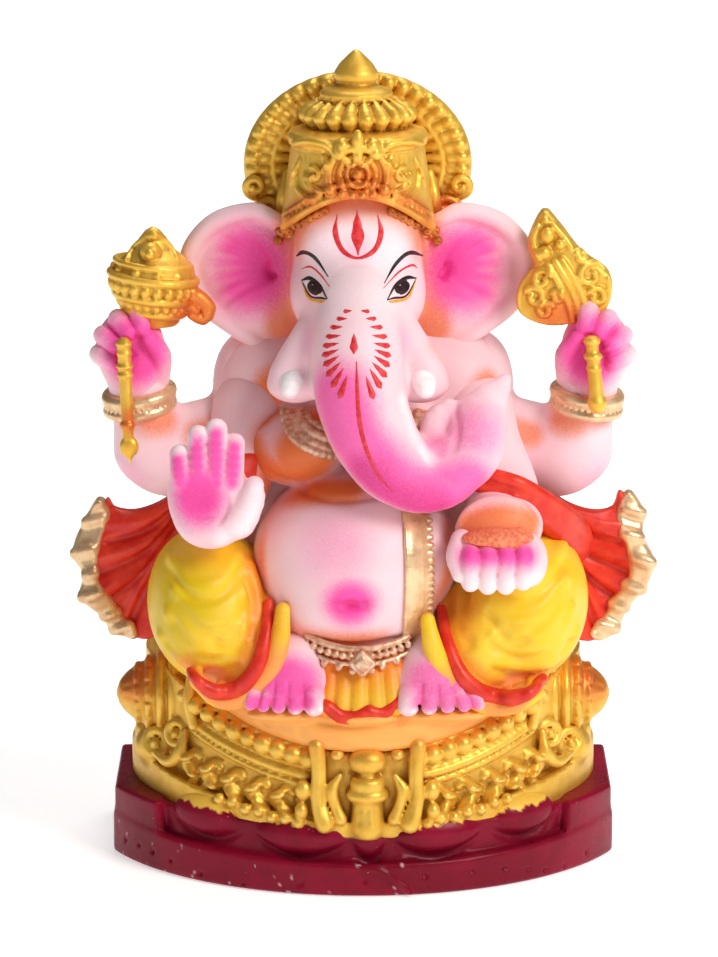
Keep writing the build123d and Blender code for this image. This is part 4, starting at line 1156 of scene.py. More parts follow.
        # pleats falling between the feet, with a wavy red hem
        clay = Clay((-14, -42, 42), (14, -20, 66), 0.42)
        clay.add(slab((-0.4, -28, 51.5), (9.6, 4.5, 7.4), 2))
        for n, (x, size) in enumerate(((-8.4, 1.9), (-4.9, 2.2), (-1.0, 2.5), (3.0, 2.3), (6.8, 2.0), (9.2, 1.4))):
            clay.add(rope([(x * 0.85, -29.0, 58), (x * 0.95, -32.4, 51.5), (x * 1.06, -34.6, 45.6)],
                          [size * 0.85, size, size * 1.1]), 0.6)
        # The pleats' own orange all over, with painted shade added towards the top, under the legs, and on the
        # figure's right, away from the light.
        finish(clay.skin("pleats", [("orange", lambda p: 0.25 + 0.7 * np.clip((p[:, 2] - 48) / 7, 0,
                1) + 0.4 * np.clip((-p[:, 0] - 4) / 5, 0, 1))], 1.2), "yellow_cloth", "yellow", "pleats")
        wave = [(-10.8, 48.0), (-8.4, 46.4), (-5.4, 44.0), (-1.8, 43.9), (1.4, 45.2), (5.0, 44.6), (9.2, 48.4)]
        hem = Clay((-13, -41, 41), (12, -28, 52), 0.4)
        line = [(x, clay.front(x, z, -35.5) - 0.3, z) for x, z in wave]
        hem.add(rope(line, [0.8, 1.6, 1.75, 1.5, 1.7, 1.55, 0.9]), 0.2)
        finish(hem.skin("pleat_hem", (), 0.8), "red_cloth", "red", "pleat_hem")
        return {"FINISHED"}


class IDOL_OT_ornaments(bpy.types.Operator):
    """Model the necklace, belly sash, waist belt and its medallion"""
    bl_idname = "idol.ornaments"
    bl_label = "Ornaments"

    def execute(self, context):
        torso = KEPT["torso"]
        # necklace: four rows following the chest
        clay = Clay((-26, -36, 92), (22, -6, 122), 0.42)
        for drop_by, size, beaded in ((0.0, 1.1, False), (1.9, 1.4, True), (3.7, 1.1, False), (5.3, 1.3, True)):
            spots = []
            for n in range(31):
                a = radians(184 + 5.7 * n)
                x, z = -1.2 + (12.6 + drop_by * 0.95) * cos(a), 113.9 + (4.4 + drop_by * 1.15) * sin(a)
                y = torso.front(x, z, -12)
                spots.append((x, y - size * 0.35, z))
            if beaded:
                for spot in spots:
                    clay.add(blob(spot, (size, size * 0.9, size)), 0.15)
            else:
                clay.add(rope(spots, size), 0.3)
        finish(clay.skin("necklace", (), 0.9), "bronze", "bronze", "necklace")

        # sash: a ribbed strip with a beaded edge
        clay = Clay((7, -42, 58), (20, -16, 97), 0.4)
        for n in range(66):
            z = 61.2 + 0.52 * n
            lean = 0.9 * sin((z - 60) / 34 * pi)
            for x in np.arange(10.2, 14.0, 0.9):
                y = torso.front(x + lean, z, -30)
                clay.add(blob((x + lean, y - 0.1, z), (1.1, 1.1, 0.7)), 0.5)
        for n in range(20):
            z = 62.0 + 1.72 * n
            lean = 0.9 * sin((z - 60) / 34 * pi)
            y = torso.front(14.9 + lean, z, -30)
            clay.add(blob((14.9 + lean, y - 0.7, z), (1.5, 1.2, 0.88)), 0.2)
        for x in (9.6, 13.1):
            clay.add(rope([(x + 0.9 * sin((z - 60) / 34 * pi), torso.front(x + 0.9 * sin((z - 60) / 34 * pi), z,
                    -30) - 0.8, z) for z in range(62, 96, 3)], 0.55), 0.3)
        finish(clay.skin("belly_sash", (), 0.9), "border_gold", "pale", "belly_strap")

        # belt: beads between two cords, sagging to a faceted medallion
        clay = Clay((-18, -43, 52), (14, -24, 68), 0.36)
        spots = {}
        for row, rise in (("top", 2.3), ("mid", 0.4), ("low", -1.5)):
            line = []
            for n in range(29):
                x = -13.6 + 0.87 * n
                z = 57.6 + 0.016 * (x + 1) ** 2 + rise
                line.append((x, -13.6 - sqrt(20.6 ** 2 - (x + 1) ** 2), z))
            spots[row] = line
        clay.add(rope(spots["top"], 0.85), 0.2).add(rope(spots["low"], 0.6), 0.2)
        for n, (x, y, z) in enumerate(spots["mid"]):
            if n % 2 == 0:
                clay.add(blob((x, y - 0.3, z), (0.95, 0.9, 0.95)), 0.2)
            if n % 4 == 1:
                clay.add(blob((x, y - 0.3, z - 2.9), (0.9, 0.8, 1.1)), 0.3)
        finish(clay.skin("waist_belt", (), 0.8), "bronze", "bronze", "waist_belt")
        gem = Clay((-6, -43, 52), (6, -30, 64), 0.3)
        gem.add(slab((-0.2, -35.6, 56.8), (2.5, 1.5, 2.5), 0.6, (0, 45, 0)), 0.1)
        gem.add(slab((-0.2, -36.8, 56.8), (1.5, 1.0, 1.5), 0.5, (0, 45, 0)), 0.3)
        gem.add(blob((-2.6, -34.9, 54.6), (0.9, 0.8, 0.9)), 0.2).add(blob((2.2, -34.9, 54.6), (0.9, 0.8, 0.9)), 0.2)
        finish(gem.skin("belt_medallion", (), 0.8), "bronze", "bronze", "belt_medallion")
        return {"FINISHED"}


# ---------------------------------------------------------------- crown and halo
CROWN = Vector((-1.3, -5.0, 0.0))


def rim_height(x):
    """The crown's lower rim arches over the forehead."""
    return 167.6 - 9.6 * ((x - CROWN.x) / 17.6) ** 2


class IDOL_OT_crown(bpy.types.Operator):
    """Model the tall crown with its rosette, scrolls, melon ring and finial"""
    bl_idname = "idol.crown"
    bl_label = "Crown"

    def execute(self, context):
        cx, cy = CROWN.x, CROWN.y
        clay = Clay((-24, -28, 152), (22, 16, 201.2), 0.42)
        clay.add(lathe([(0, 154), (18.4, 154), (18.3, 160), (17.2, 168), (16.2, 176), (15.8, 178.2), (0, 178.2)], cx,
                       cy), 0.1)
        clay.add(lathe([(0, 177.4), (16.6, 177.6), (17.0, 179.4), (16.4, 180.6), (13.6, 181.6), (0, 182.4)], cx, cy),
                 0.6)
        for n in range(54):
            a = 2 * pi * n / 54
            clay.cut(blob((cx + 17.0 * sin(a), cy - 17.0 * cos(a), 177.4), (0.5, 0.5, 0.9)), 0.25)
        # melon ring, lip and onion finial
        clay.add(lathe([(0, 181), (10.4, 181.2), (11.6, 183.6), (10.8, 186.6), (7.0, 188.6), (0, 189)], cx, cy), 0.4)
        for n in range(20):
            a = 2 * pi * (n + 0.5) / 20
            clay.add(rope([(cx + 10.6 * sin(a), cy - 10.6 * cos(a), 182.3), (cx + 12.3 * sin(a), cy - 12.3 * cos(a),
                    184.6), (cx + 8.6 * sin(a), cy - 8.6 * cos(a), 187.8)], [1.1, 1.95, 1.1]), 0.3)
            clay.add(blob((cx + 11.4 * sin(a), cy - 11.4 * cos(a), 181.2), (1.2, 1.2, 0.9)), 0.3)
        clay.add(lathe([(0, 187), (7.6, 187.2), (8.6, 188.6), (8.8, 189.8), (8.0, 190.6), (5.4, 191.4), (4.6, 192.2),
                        (5.3, 193.2), (5.3, 194.6), (4.0, 196.7), (2.0, 198.7), (0.7, 199.9), (0, 200.1)], cx - 0.4,
                       cy), 0.3)
        clay.cut(hoop((cx - 0.4, cy, 188.0), 8.9, 0.45), 0.3)
        # the front opens over the forehead; rolled rim above it
        clay.cut([(np.array((-30, -30, 150)), np.array((30, -3, 168)), lambda x, y,
                   z: np.maximum(z - rim_height(x), y + 3) * 0.8)], 0.3)
        for lift, size in ((0.2, 1.0), (2.9, 0.6)):
            line = [(x, cy - sqrt(max(18.2 ** 2 - (x - cx) ** 2, 0)) - 0.1, rim_height(x) + lift)
                    for x in np.linspace(cx - 17.8, cx + 17.8, 15)]
            clay.add(rope(line, size), 0.4)
        for n in range(29):
            x = cx + 17.4 * sin(radians(-84 + 6 * n))
            clay.add(blob((x, cy - sqrt(18.3 ** 2 - (x - cx) ** 2), rim_height(x) + 1.6), (0.75, 0.75, 0.85)), 0.3)
        # rosette under its arch
        for radius, size in ((4.3, 0.75), (2.6, 0.6)):
            clay.ridge([(cx + radius * sin(t), 172.4 + radius * cos(t)) for t in np.linspace(0, 2 * pi, 15)], size, 1.2
                       if radius < 4 else 0.9, 0.3, 1.0)
        clay.bead(cx, 172.4, 1.35, 1.9)
        arch = [(cx + 6.9 * sin(radians(t)), 171.8 + 7.0 * cos(radians(t))) for t in range(-104, 105, 16)]
        clay.ridge(arch, 0.95, 1.5, 0.35, 0.9)
        for x, z, size in ((-6.4, 168.9, 1.4), (-3.7, 168.0, 1.1), (-1.2, 167.9, 0.9), (1.2, 167.9, 0.9),
                           (3.7, 168.0, 1.1), (6.4, 168.9, 1.4)):
            clay.bead(cx + x, z, size, 1.1)
        # bud above it, between two curling leaves
        clay.bead(cx, 180.4, 1.5, 1.4, 0.3, 1.9).bead(cx, 176.8, 1.3, 1.0, 0.3, 1.5)
        for side in (-1, 1):
            clay.ridge([(cx + side * 1.2, 174.6), (cx + side * 3.4, 176.4), (cx + side * 4.6, 179.0),
                        (cx + side * 3.4, 180.6)], 0.95, 1.0, 0.3, 0.7)
            clay.bead(cx + side * 3.5, 179.4, 1.2, 1.1)
            clay.ridge([(cx + side * 4.4, 176.4), (cx + side * 7.5, 179.2), (cx + side * 12.0, 179.6),
                        (cx + side * 15.4, 178.2)], 0.95, 0.9, 0.3, 0.6)
            clay.ridge([(cx + side * 8.2, 177.0), (cx + side * 7.3, 174.6), (cx + side * 8.6, 172.6)], 0.8, 0.8, 0.3,
                       0.6)
            curl_leaf(clay, cx + side * 10.6, 171.6, 3.4, side, 1.1)
            clay.ridge([(cx + side * 8.6, 167.4), (cx + side * 11.4, 166.2), (cx + side * 14.2, 167.8),
                        (cx + side * 14.6, 171.4)], 0.75, 0.8, 0.3, 0.6)
            for n in range(4):
                clay.ridge([(cx + side * (13.6 + 0.55 * n), 175.6 - 1.0 * n),
                            (cx + side * (15.0 + 0.4 * n), 171.4 - 1.2 * n)], 0.42, 0.45, 0.25, 0.4)
            for n in range(5):
                clay.score([(cx + side * (8.8 + 1.15 * n), 176.6), (cx + side * (8.9 + 1.15 * n), 174.4)], 0.22, 0.22,
                           0.2)
        glow = layered(spray((cx, -24, 169.5), 3, 8, (1.6, 1, 0.8)), spray_line([(-17, -14, 162), (-11, -20, 166)], 1,
                3.5), spray_line([(15, -14, 162), (9, -20, 166)], 1, 3.5))
        finish(clay.skin("crown", [("orange", lambda p: 0.85 * glow(p))], 1.2), "gold", "gold", "crown_band",
               "crown_cornice", "crown_melon", "crown_finial", "crown_rosette")
        return {"FINISHED"}


class IDOL_OT_halo(bpy.types.Operator):
    """Model the ribbed halo behind the crown and the scrolls at its feet"""
    bl_idname = "idol.halo"
    bl_label = "Halo"

    def execute(self, context):
        mid = (MID, 170.6)

        def oval(angle, scale):
            return mid[0] + 27.5 * scale * sin(angle), mid[1] + 22.4 * scale * cos(angle)

        clay = Clay((-31, -2, 152), (29, 14.5, 195), 0.42)
        clay.add(sheet([oval(2 * pi * n / 40, 0.985) for n in range(40)], 7.6, 12.3, 1.2), 0.1)
        clay.cut([(np.array((-40, 0, 140)), np.array((40, 14, 157)), lambda x, y, z: z - 156.2)], 0.5)
        for n in range(29):
            a = radians(-119 + 8.5 * n)
            x, z = oval(a, 0.868)
            way = atan2(27.5 * sin(a), 22.4 * cos(a))
            clay.add(slab((x, 6.9, z), (1.52, 2.1, 3.0), 1.25, (0, way * 57.3, 0)), 0.25)
            x, z = oval(a, 0.915)
            clay.add(blob((x, 5.5, z), (1.5, 1.3, 1.7), (0, way * 57.3, 0)), 0.5)
        for scale, depth, size, sink in ((0.745, 6.0, 0.95, 0.3), (0.95, 7.4, 1.5, 0.9)):
            ring = [oval(radians(t), scale) for t in range(-124, 125, 8)]
            clay.add(rope([(x, depth, z) for x, z in ring], size), sink)
        for n in range(21):
            a = radians(-105 + 10.5 * n)
            x, z = oval(a, 0.645)
            way = atan2(27.5 * sin(a), 22.4 * cos(a))
            clay.add(bar((x - 1.8 * sin(way), 7.0, z - 1.8 * cos(way)), (x + 1.6 * sin(way), 6.6, z + 1.6 * cos(way)),
                         0.9, 1.45), 0.3)
        # scrolls at the two feet
        for side, x, z, size in ((-1, -22.6, 160.0, 3.1), (1, 19.8, 160.0, 3.7), (-1, -26.0, 165.6, 2.5),
                (1, 23.4, 165.8, 2.5)):
            spiral = [(x + side * size * (1 - 0.72 * t) * cos(-1.4 + 7.4 * t), 4.4 - 2.0 * t,
                       z + size * (1 - 0.72 * t) * sin(-1.4 + 7.4 * t)) for t in np.linspace(0, 1, 14)]
            clay.add(blob((x, 7.0, z), (size, 3.6, size)), 0.6).add(rope(spiral, [1.25, 1.1, 0.9, 0.8]), 0.25)
        for side, x in ((-1, -19.6), (1, 17.4)):
            clay.add(rope([(x, 3, 158.2), (x - side * 0.4, 1.5, 163.5), (x - side * 1.4, 3.4, 169)], [1.9, 1.7, 1.1]),
                     0.5)
        finish(clay.skin("halo", [("orange", spray((19, 3, 160), 2, 5))], 1.2), "gold", "gold", "halo", "halo_rail",
               "halo_ribs", "crown_volutes")
        return {"FINISHED"}


class IDOL_OT_hair(bpy.types.Operator):
    """Model the row of hair curls under the crown"""
    bl_idname = "idol.hair"
    bl_label = "Hair curls"

    def execute(self, context):
        head = KEPT["head"]
        clay = Clay((-23, -24, 149), (20, 2, 170), 0.36)
        for side in (-1, 1):
            for row in range(2):
                for n in range(9):
                    x = CROWN.x + side * (7.5 + 1.4 * n + 0.5 * row)
                    z = rim_height(x) - 0.9 - 1.7 * row
                    y = max(head.front(x, z, -8.0) - 0.3, -18.5)
                    clay.add(blob((x, y, z), (1.25, 1.5, 1.2)), 0.2)
                    clay.cut(blob((x + 0.2, y - 1.5, z - 0.1), (0.42, 0.7, 0.42)), 0.15)
        finish(clay.skin("hair_curls", (), 0.7), "hair_brown", "hair", "hair_fringe")
        return {"FINISHED"}


# ---------------------------------------------------------------- arms, hands and what they hold
class IDOL_OT_rear_arms(bpy.types.Operator):
    """Model the two raised rear arms with their curled hands and bracelets"""
    bl_idname = "idol.rear_arms"
    bl_label = "Rear arms"

    def execute(self, context):
        for side, word in ((-1, "right"), (1, "left")):
            low, high = ((-65, -17, 82), (-20, 22, 130)) if side < 0 else ((20, -17, 82), (65, 22, 130))
            clay = Clay(low, high, 0.6)
            clay.add(blob((side * 28, 6, 117), (8.6, 10, 13)))
            clay.add(bar((side * 29, 6, 103), (side * 47, 0.5, 101.5), 12, 10.2), 3)
            clay.add(bar((side * 50.8, -1, 102.5), (side * 53.8, -4, 117), 10, 6.9), 3)
            clay.add(blob((side * 46.5, 0, 99.5), (9.5, 8.5, 9.0)), 3)
            orange = layered(spray_line([(side * 60, -10, 112), (side * 54, -13.5, 110.5), (side * 48, -9, 110.5)],
                    1.2, 4.6), spray_line([(side * 34, -5, 108), (side * 40, -8, 107)], 1.5, 4),
                    spray((side * 27, -8, 112), 3, 7))
            pink = spray((side * 57, -8, 96), 1, 8)
            finish(clay.skin(word + "_rear_arm", [("orange", lambda p: 0.75 * orange(p)),
                    ("pink", lambda p: 0.25 * pink(p))]), "skin", "flesh", word + "_rear_arm")

            hand = Clay(*(((-68, -17, 112), (-43, 5, 142)) if side < 0 else ((43, -17, 112), (68, 5, 142))), 0.42)
            hand.add(bar((side * 54.4, -4, 115), (side * 55.4, -5, 122), 6.6, 6.8))
            hand.add(blob((side * 56.2, -5.2, 127.5), (8.4, 5.4, 10)), 2)
            for x, z, lean in ((-2.0, 137.2, -1.6), (2.8, 135.0, -0.8), (6.4, 131.0, 0), (7.4, 126.4, 0.6)):
                hand.add(rope([(side * (55.5 + x * 0.75), -4.5, z - 2.5), (side * (56.2 + x), -7.6, z + 0.2),
                               (side * (54.6 + x * 0.72), -10.6, z - 1.8 + lean)], [2.5, 2.45, 2.05]), 0.45)
            hand.add(rope([(side * 49.6, -5.5, 120.5), (side * 48.9, -8.4, 126.5), (side * 51.4, -10.6, 131.0)],
                          [3.0, 2.7, 2.0]), 0.6)
            for a in (-36, -8, 18):
                hand.score([(side * 54.6, 127), (side * (54.6 + 5.5 * cos(radians(a))), 127 - 5.5 * sin(radians(a)))],
                           0.45, 0.4, 0.4)
            pink = layered(spray((side * 54.6, -11, 128.2), 5.0, 6.5, (1, 1, 1.15)),
                           spray((side * 58.5, -9, 131), 2, 6))
            # Darker magenta in the cupped palm: deeper pink paint, with painted shade in the hollow.
            deep = spray((side * 55.2, -10, 126.5), 1.5, 6)
            finish(hand.skin(word + "_rear_hand", [("pink", pink), ("deep", lambda p: 0.55 * deep(p))], 1.4), "skin",
                   "flesh", word + "_rear_hand")

            ring = Clay(*(((-67, -17, 107), (-42, 8, 121)) if side < 0 else ((42, -17, 107), (67, 8, 121))), 0.38)
            turn = (8, side * 8, 0)
            ring.add(hoop((side * 54.2, -4.2, 116.2), 7.6, 1.7, turn)).add(hoop((side * 54.0, -4.2, 113.2), 7.9, 1.25,
                    turn), 0.3)
            for n in range(36):
                a = 2 * pi * n / 36
                ring.add(blob((side * (54.1 + 8.3 * cos(a)), -4.2 + 8.3 * sin(a),
                               114.7 - 1.15 * cos(a) + 1.15 * sin(a)), (0.6, 0.6, 0.7)), 0.2)
            finish(ring.skin(word + "_bracelet", (), 0.9), "border_gold", "pale", word + "_bracelet")
        return {"FINISHED"}


class IDOL_OT_emblems(bpy.types.Operator):
    """Model the goad and the noose with their staffs"""
    bl_idname = "idol.emblems"
    bl_label = "Goad and noose"

    def execute(self, context):
        # goad head: banded dome with gadroons and a scroll bracket
        x, y = -50.6, -3.6
        clay = Clay((-63, -17, 130), (-34.5, 9, 159), 0.38)
        clay.add(lathe([(0, 132.6), (5.2, 132.8), (7.0, 136), (8.6, 138.6), (9.4, 141.2), (10.2, 143.6), (9.8, 146.8),
                        (7.6, 149.6), (4.8, 151.8), (3.4, 154.2), (1.8, 156.2), (0, 157.2)], x, y))
        tilt = (0, 7, 0)
        for z, radius, size in ((148.2, 9.1, 0.8), (144.9, 10.4, 1.0), (140.2, 9.2, 1.1), (136.6, 7.4, 0.9)):
            clay.add(hoop((x, y, z), radius, size, tilt), 0.35)
        for n in range(22):
            a = 2 * pi * n / 22
            clay.add(blob((x + 9.8 * cos(a), y + 9.8 * sin(a), 142.5 - 1.2 * cos(a)), (1.25, 1.25, 1.7)), 0.3)
            clay.add(blob((x + 8.2 * cos(a), y + 8.2 * sin(a), 138.4 - cos(a)), (0.95, 0.95, 1.2)), 0.3)
            if n % 2:
                clay.add(blob((x + 9.3 * cos(a), y + 9.3 * sin(a), 146.6 - 1.1 * cos(a)), (1.1, 1.1, 0.9)), 0.3)
        clay.bead(x - 0.4, 151.6, 2.5, 1.8).bead(x - 0.4, 151.6, 1.2, 1.3).bead(x + 0.3, 155.2, 1.4, 1.0)
        clay.ridge([(x - 6.4, 149.6), (x - 3.6, 153.2), (x - 0.5, 155.6)], 0.7, 0.5,
                   0.3).ridge([(x + 6.2, 149.4), (x + 3.4, 153.4), (x + 0.8, 155.6)], 0.7, 0.5, 0.3)
        clay.add(rope([(-44, -5, 141.6), (-40.4, -5, 140.2), (-37.4, -4.6, 137.2), (-38.6, -5, 134.6),
                       (-41.2, -6, 135.8)], [2.6, 2.2, 2.0, 1.5, 1.2]), 0.6)
        clay.add(rope([(-46, -7, 138), (-42.5, -7, 138.4), (-40, -6.6, 136.8)], [1.6, 1.3, 0.8]),
                 0.4).add(blob((-46.6, -5, 135), (2.6, 2.6, 2.2)), 0.5)
        finish(clay.skin("goad_head", [("orange", spray((-41, -7, 136), 3, 7))], 1.0), "gold", "gold", "goad_head")

        # noose plate: a pointed leaf of scrolls around a ribbed stem
        edge = [(43.4, 161.2), (39.6, 153.4), (41.2, 147.6), (37.6, 142.4), (37.9, 136.4), (45.7, 133.6),
                (56.5, 136.0), (59.6, 140.2), (59.3, 146.0), (52.6, 151.2), (47.4, 157.8)]
        clay = Clay((34.5, -15, 131), (62.5, 6, 164), 0.38)
        swell = lambda gx, gz: -6.8 - 2.6 * np.exp(-((gx - 47.5) / 9) ** 2 - ((gz - 144) / 10) ** 2)
        clay.add(sheet(edge, swell, 0.8, 1.6))
        for start, end in (((44.4, 148.4), (50.6, 134.8)), ((46.0, 149.4), (52.4, 135.6)),
                           ((47.6, 149.8), (54.2, 136.6))):
            clay.ridge([start, ((start[0] + end[0]) / 2 + 0.8, (start[1] + end[1]) / 2), end], 0.9, 1.0, 0.25, 0.9)
        for px, pz, size, turn in ((43.0, 145.0, 2.4, 1), (41.2, 140.6, 2.6, -1), (43.8, 137.4, 2.2, 1),
                (46.6, 140.8, 1.6, -1), (54.6, 146.0, 3.3, 1), (56.2, 140.6, 2.4, -1), (52.2, 150.4, 1.5, -1)):
            loop = [(px + turn * size * (1 - 0.7 * t) * cos(0.5 + 6.6 * t),
                     pz + size * (1 - 0.7 * t) * sin(0.5 + 6.6 * t)) for t in np.linspace(0, 1, 11)]
            clay.ridge(loop, 0.8, 1.0, 0.25, 0.8)
        clay.bead(44.2, 155.6, 1.7, 1.6, 0.3, 1.2).bead(43.4, 151.4, 1.7, 1.4).bead(47.2, 153.4, 1.3, 1.1).bead(43.8,
                159.0, 1.0, 0.8)
        clay.ridge([(42.2, 158.4), (40.8, 153.8), (42.8, 149.2)], 0.8, 0.9, 0.3).ridge([(45.0, 158.6), (48.8, 154.2),
                (50.2, 151.6)], 0.8, 0.9, 0.3)
        clay.ridge([(edge[n][0] * 0.96 + 1.9, edge[n][1] * 0.96 + 5.8) for n in range(2, 9)], 0.6, 0.6, 0.3)
        finish(clay.skin("noose_head", [("orange", spray((48, -9, 134), 3, 7))], 1.0), "gold", "gold", "noose_head")

        staff = Clay((-61, -20, 100.5), (-52, -10, 133), 0.3)
        staff.add(bar((-57.4, -13.6, 130.2), (-56.4, -16.2, 107.6), 1.7, 1.35))
        for t, size in ((0.0, 2.1), (0.1, 1.9), (0.24, 2.1), (0.33, 2.1), (0.86, 1.9)):
            staff.add(blob((-57.4 + t, -13.6 - 2.6 * t, 130.2 - 22.6 * t), (size, size, 0.9 if t < 0.8 else 1.3)),
                      0.25)
        staff.add(blob((-56.2, -16.4, 105.6), (2.3, 1.4, 2.6)), 0.3).add(bar((-56.2, -16.4, 105),
                (-56.0, -16.4, 101.8), 1.3, 0.35), 0.5)
        finish(staff.skin("goad_staff", [("orange", spray((-56, -17, 112), 1, 4))], 0.9), "gold", "gold", "goad_shaft")
        knob = Clay((51, -20, 111), (61, -9, 133), 0.3)
        knob.add(bar((54.8, -13.6, 130.5), (56.2, -15.6, 115.4), 1.5, 1.9)).add(blob((54.8, -13.8, 130.9),
                (2.1, 2.1, 1.4)), 0.2)
        knob.add(blob((55.1, -14.0, 127.2), (2.3, 2.3, 1.3)), 0.3).add(blob((55.3, -14.4, 124.4), (1.9, 1.9, 0.8)),
                0.3).add(blob((56.1, -15.4, 116.2), (2.4, 2.3, 1.7)), 0.5)
        finish(knob.skin("noose_staff", (), 0.9), "gold", "gold", "noose_handle")
        return {"FINISHED"}


class IDOL_OT_front_arms(bpy.types.Operator):
    """Model the blessing hand, the resting hand and the sweet it holds"""
    bl_idname = "idol.front_arms"
    bl_label = "Front arms"

    def execute(self, context):
        arm = Clay((-48, -40, 78), (-16, 14, 122), 0.6)
        arm.add(rope([(-27, -2, 112), (-29, -6, 102), (-33, -16, 92.5), (-36, -27, 91)], [9.5, 9.5, 8.0, 6.6]))
        arm.score([(-27.6, 98), (-24.5, 93), (-24.6, 88)], 1.0, 0.6, 1)
        orange = layered(spray_line([(-24, -12, 100), (-25, -18, 92), (-27, -22, 86)], 2, 5),
                         spray((-22, -12, 106), 2, 6))
        KEPT["blessing_arm"] = arm
        finish(arm.skin("blessing_arm", [("orange", lambda p: 0.8 * orange(p))]), "skin", "flesh", "blessing_arm")

        hand = Clay((-49, -41, 82), (-22, -24, 119), 0.42)
        hand.add(blob((-36.8, -32.6, 97), (9.7, 4.9, 12)))
        hand.add(blob((-36.0, -32.4, 90.6), (8.0, 5.0, 6.2)), 2)
        for x, lean, tip, size in ((-42.9, -0.5, 107.2, 2.7), (-38.9, -0.2, 111.8, 2.75), (-34.9, 0.2, 113.4, 2.75),
                (-31.0, 0.5, 110.0, 2.6)):
            hand.add(rope([(x, -33.2, 98), (x + lean * 0.4, -34.6, (98 + tip) / 2), (x + lean, -33.8, tip)],
                          [size, size, size * 0.95]), 0.35)
        hand.add(rope([(-30.0, -33.5, 91.5), (-27.0, -34.6, 96.0), (-25.8, -35.6, 100.2)], [4.8, 3.6, 2.3]), 1.0)
        hand.cut(blob((-37.4, -38.4, 96.6), (4.4, 1.8, 5.4)), 2.0)
        hand.score([(-43.6, 95.6), (-39.0, 93.0), (-33.5, 93.4)], 0.5, 0.35,
                   0.5).score([(-33.2, 100.4), (-32.2, 95.8), (-34.6, 90.6)], 0.6, 0.45, 0.6)
        palm = layered(spray((-39.0, -37.6, 98.0), 3.0, 6.2, (1.1, 1, 1.3)),
                       *[spray_line([(x, -37.6, 101), (x + lean, -37.2, tip)], 0.8, 2.7) for x, lean,
                         tip in ((-43.2, -0.9, 106.4), (-39.0, -0.5, 111.4), (-34.9, 0.1, 112.6),
                (-31.0, 0.7, 109.4))])
        # Darker magenta in the cupped palm and in the gaps between the fingers: deeper pink paint, with painted shade
        # in these hollows.
        deep = layered(spray((-39, -37, 97), 1, 6), spray_line([(-41.2, -36, 103), (-41.4, -36, 107)], 0.2, 1.2),
                       spray_line([(-36.9, -36, 102), (-36.9, -36, 110)], 0.2, 1.2),
                       spray_line([(-32.7, -36, 102), (-32.4, -36, 108)], 0.2, 1.2))
        chalk = layered(spray_line([(-26, -36, 99), (-27.5, -37, 92), (-33, -37, 86)], 0.8, 3.0),
                        spray_line([(-35, -35, 116), (-44, -35, 109)], 0.4, 2.2))
        finish(hand.skin("blessing_hand", [("pink", palm), ("deep", lambda p: 0.45 * deep(p)),
                ("chalk", lambda p: 0.5 * chalk(p))], 1.2), "skin", "flesh", "blessing_hand")

        arm = Clay((16, -38, 76), (47, 14, 122), 0.6)
        arm.add(rope([(27, -2, 112), (29, -8, 104), (33.5, -17, 94.5), (33.5, -24, 88.5)], [9.5, 9.3, 8.8, 8.4]))
        arm.add(blob((32.6, -25.5, 88.0), (10.2, 8.0, 7.2)), 2.5)
        arm.ridge([(22.6, 86), (24.6, 91.4), (30, 94.8), (37, 94), (41.2, 89.4)], 1.3, 0.5, 1.0)
        orange = layered(spray_line([(26, -31, 89), (32, -33.5, 91.5), (39, -32, 90)], 2.0, 5.0),
                         spray((33, -34, 88), 3, 5), spray_line([(24, -16, 100), (22.5, -20, 90)], 1.5, 4))
        finish(arm.skin("resting_arm", [("orange", lambda p: 0.9 * orange(p))]), "skin", "flesh", "resting_arm")

        hand = Clay((17, -42, 70), (46, -22, 92), 0.42)
        hand.add(blob((31.6, -31.0, 81.2), (10.8, 5.2, 7.4)))
        hand.add(blob((39.6, -31.4, 81.0), (4.4, 4.8, 6.6)), 1.5).add(rope([(23.4, -31, 86), (22.0, -34, 82.5),
                (23.0, -35.6, 78.6)], [2.6, 2.4, 2.0]), 0.8)
        for x, tip in ((25.6, 76.6), (29.7, 75.9), (34.0, 75.9), (38.1, 76.9)):
            hand.add(rope([(x, -33.0, 85.0), (x, -36.4, 82.4), (x - 0.1, -35.8, tip)], [2.0, 2.4, 2.25]), 0.4)
        pink = spray_line([(25, -38, 84), (31, -39, 84.4), (39, -38, 84)], 1.0, 4.6)
        # Darker magenta in the gaps between the fingers: deeper pink paint, with painted shade in the gaps.
        deep = layered(*[spray_line([(x, -36.5, 84), (x, -37, 79)], 0.2, 1.1) for x in (27.6, 31.9, 36.1)])
        chalk = spray_line([(23, -37, 75.5), (31, -38, 74.4), (41, -36, 76)], 1.2, 4.0)
        finish(hand.skin("resting_hand", [("pink", pink), ("deep", lambda p: 0.7 * deep(p)),
                ("chalk", lambda p: 0.6 * chalk(p))], 1.1), "skin", "flesh", "resting_hand")

        sweet = Clay((22, -40, 82), (43, -26, 93), 0.36)
        sweet.add(blob((32.2, -33.4, 87.0), (8.4, 3.9, 2.5)))
        for n in range(60):
            a, b = 2.4 * n, -0.9 + 1.8 * ((n * 0.618) % 1)
            sweet.add(blob((32.2 + 7.9 * cos(a) * cos(b), -33.4 + 3.5 * sin(a) * cos(b), 87.0 + 2.3 * sin(b)),
                           (0.75, 0.75, 0.6)), 0.5)
        finish(sweet.skin("sweet", (), 0.9), "sweet_orange", "sweet", "sweet")
        return {"FINISHED"}


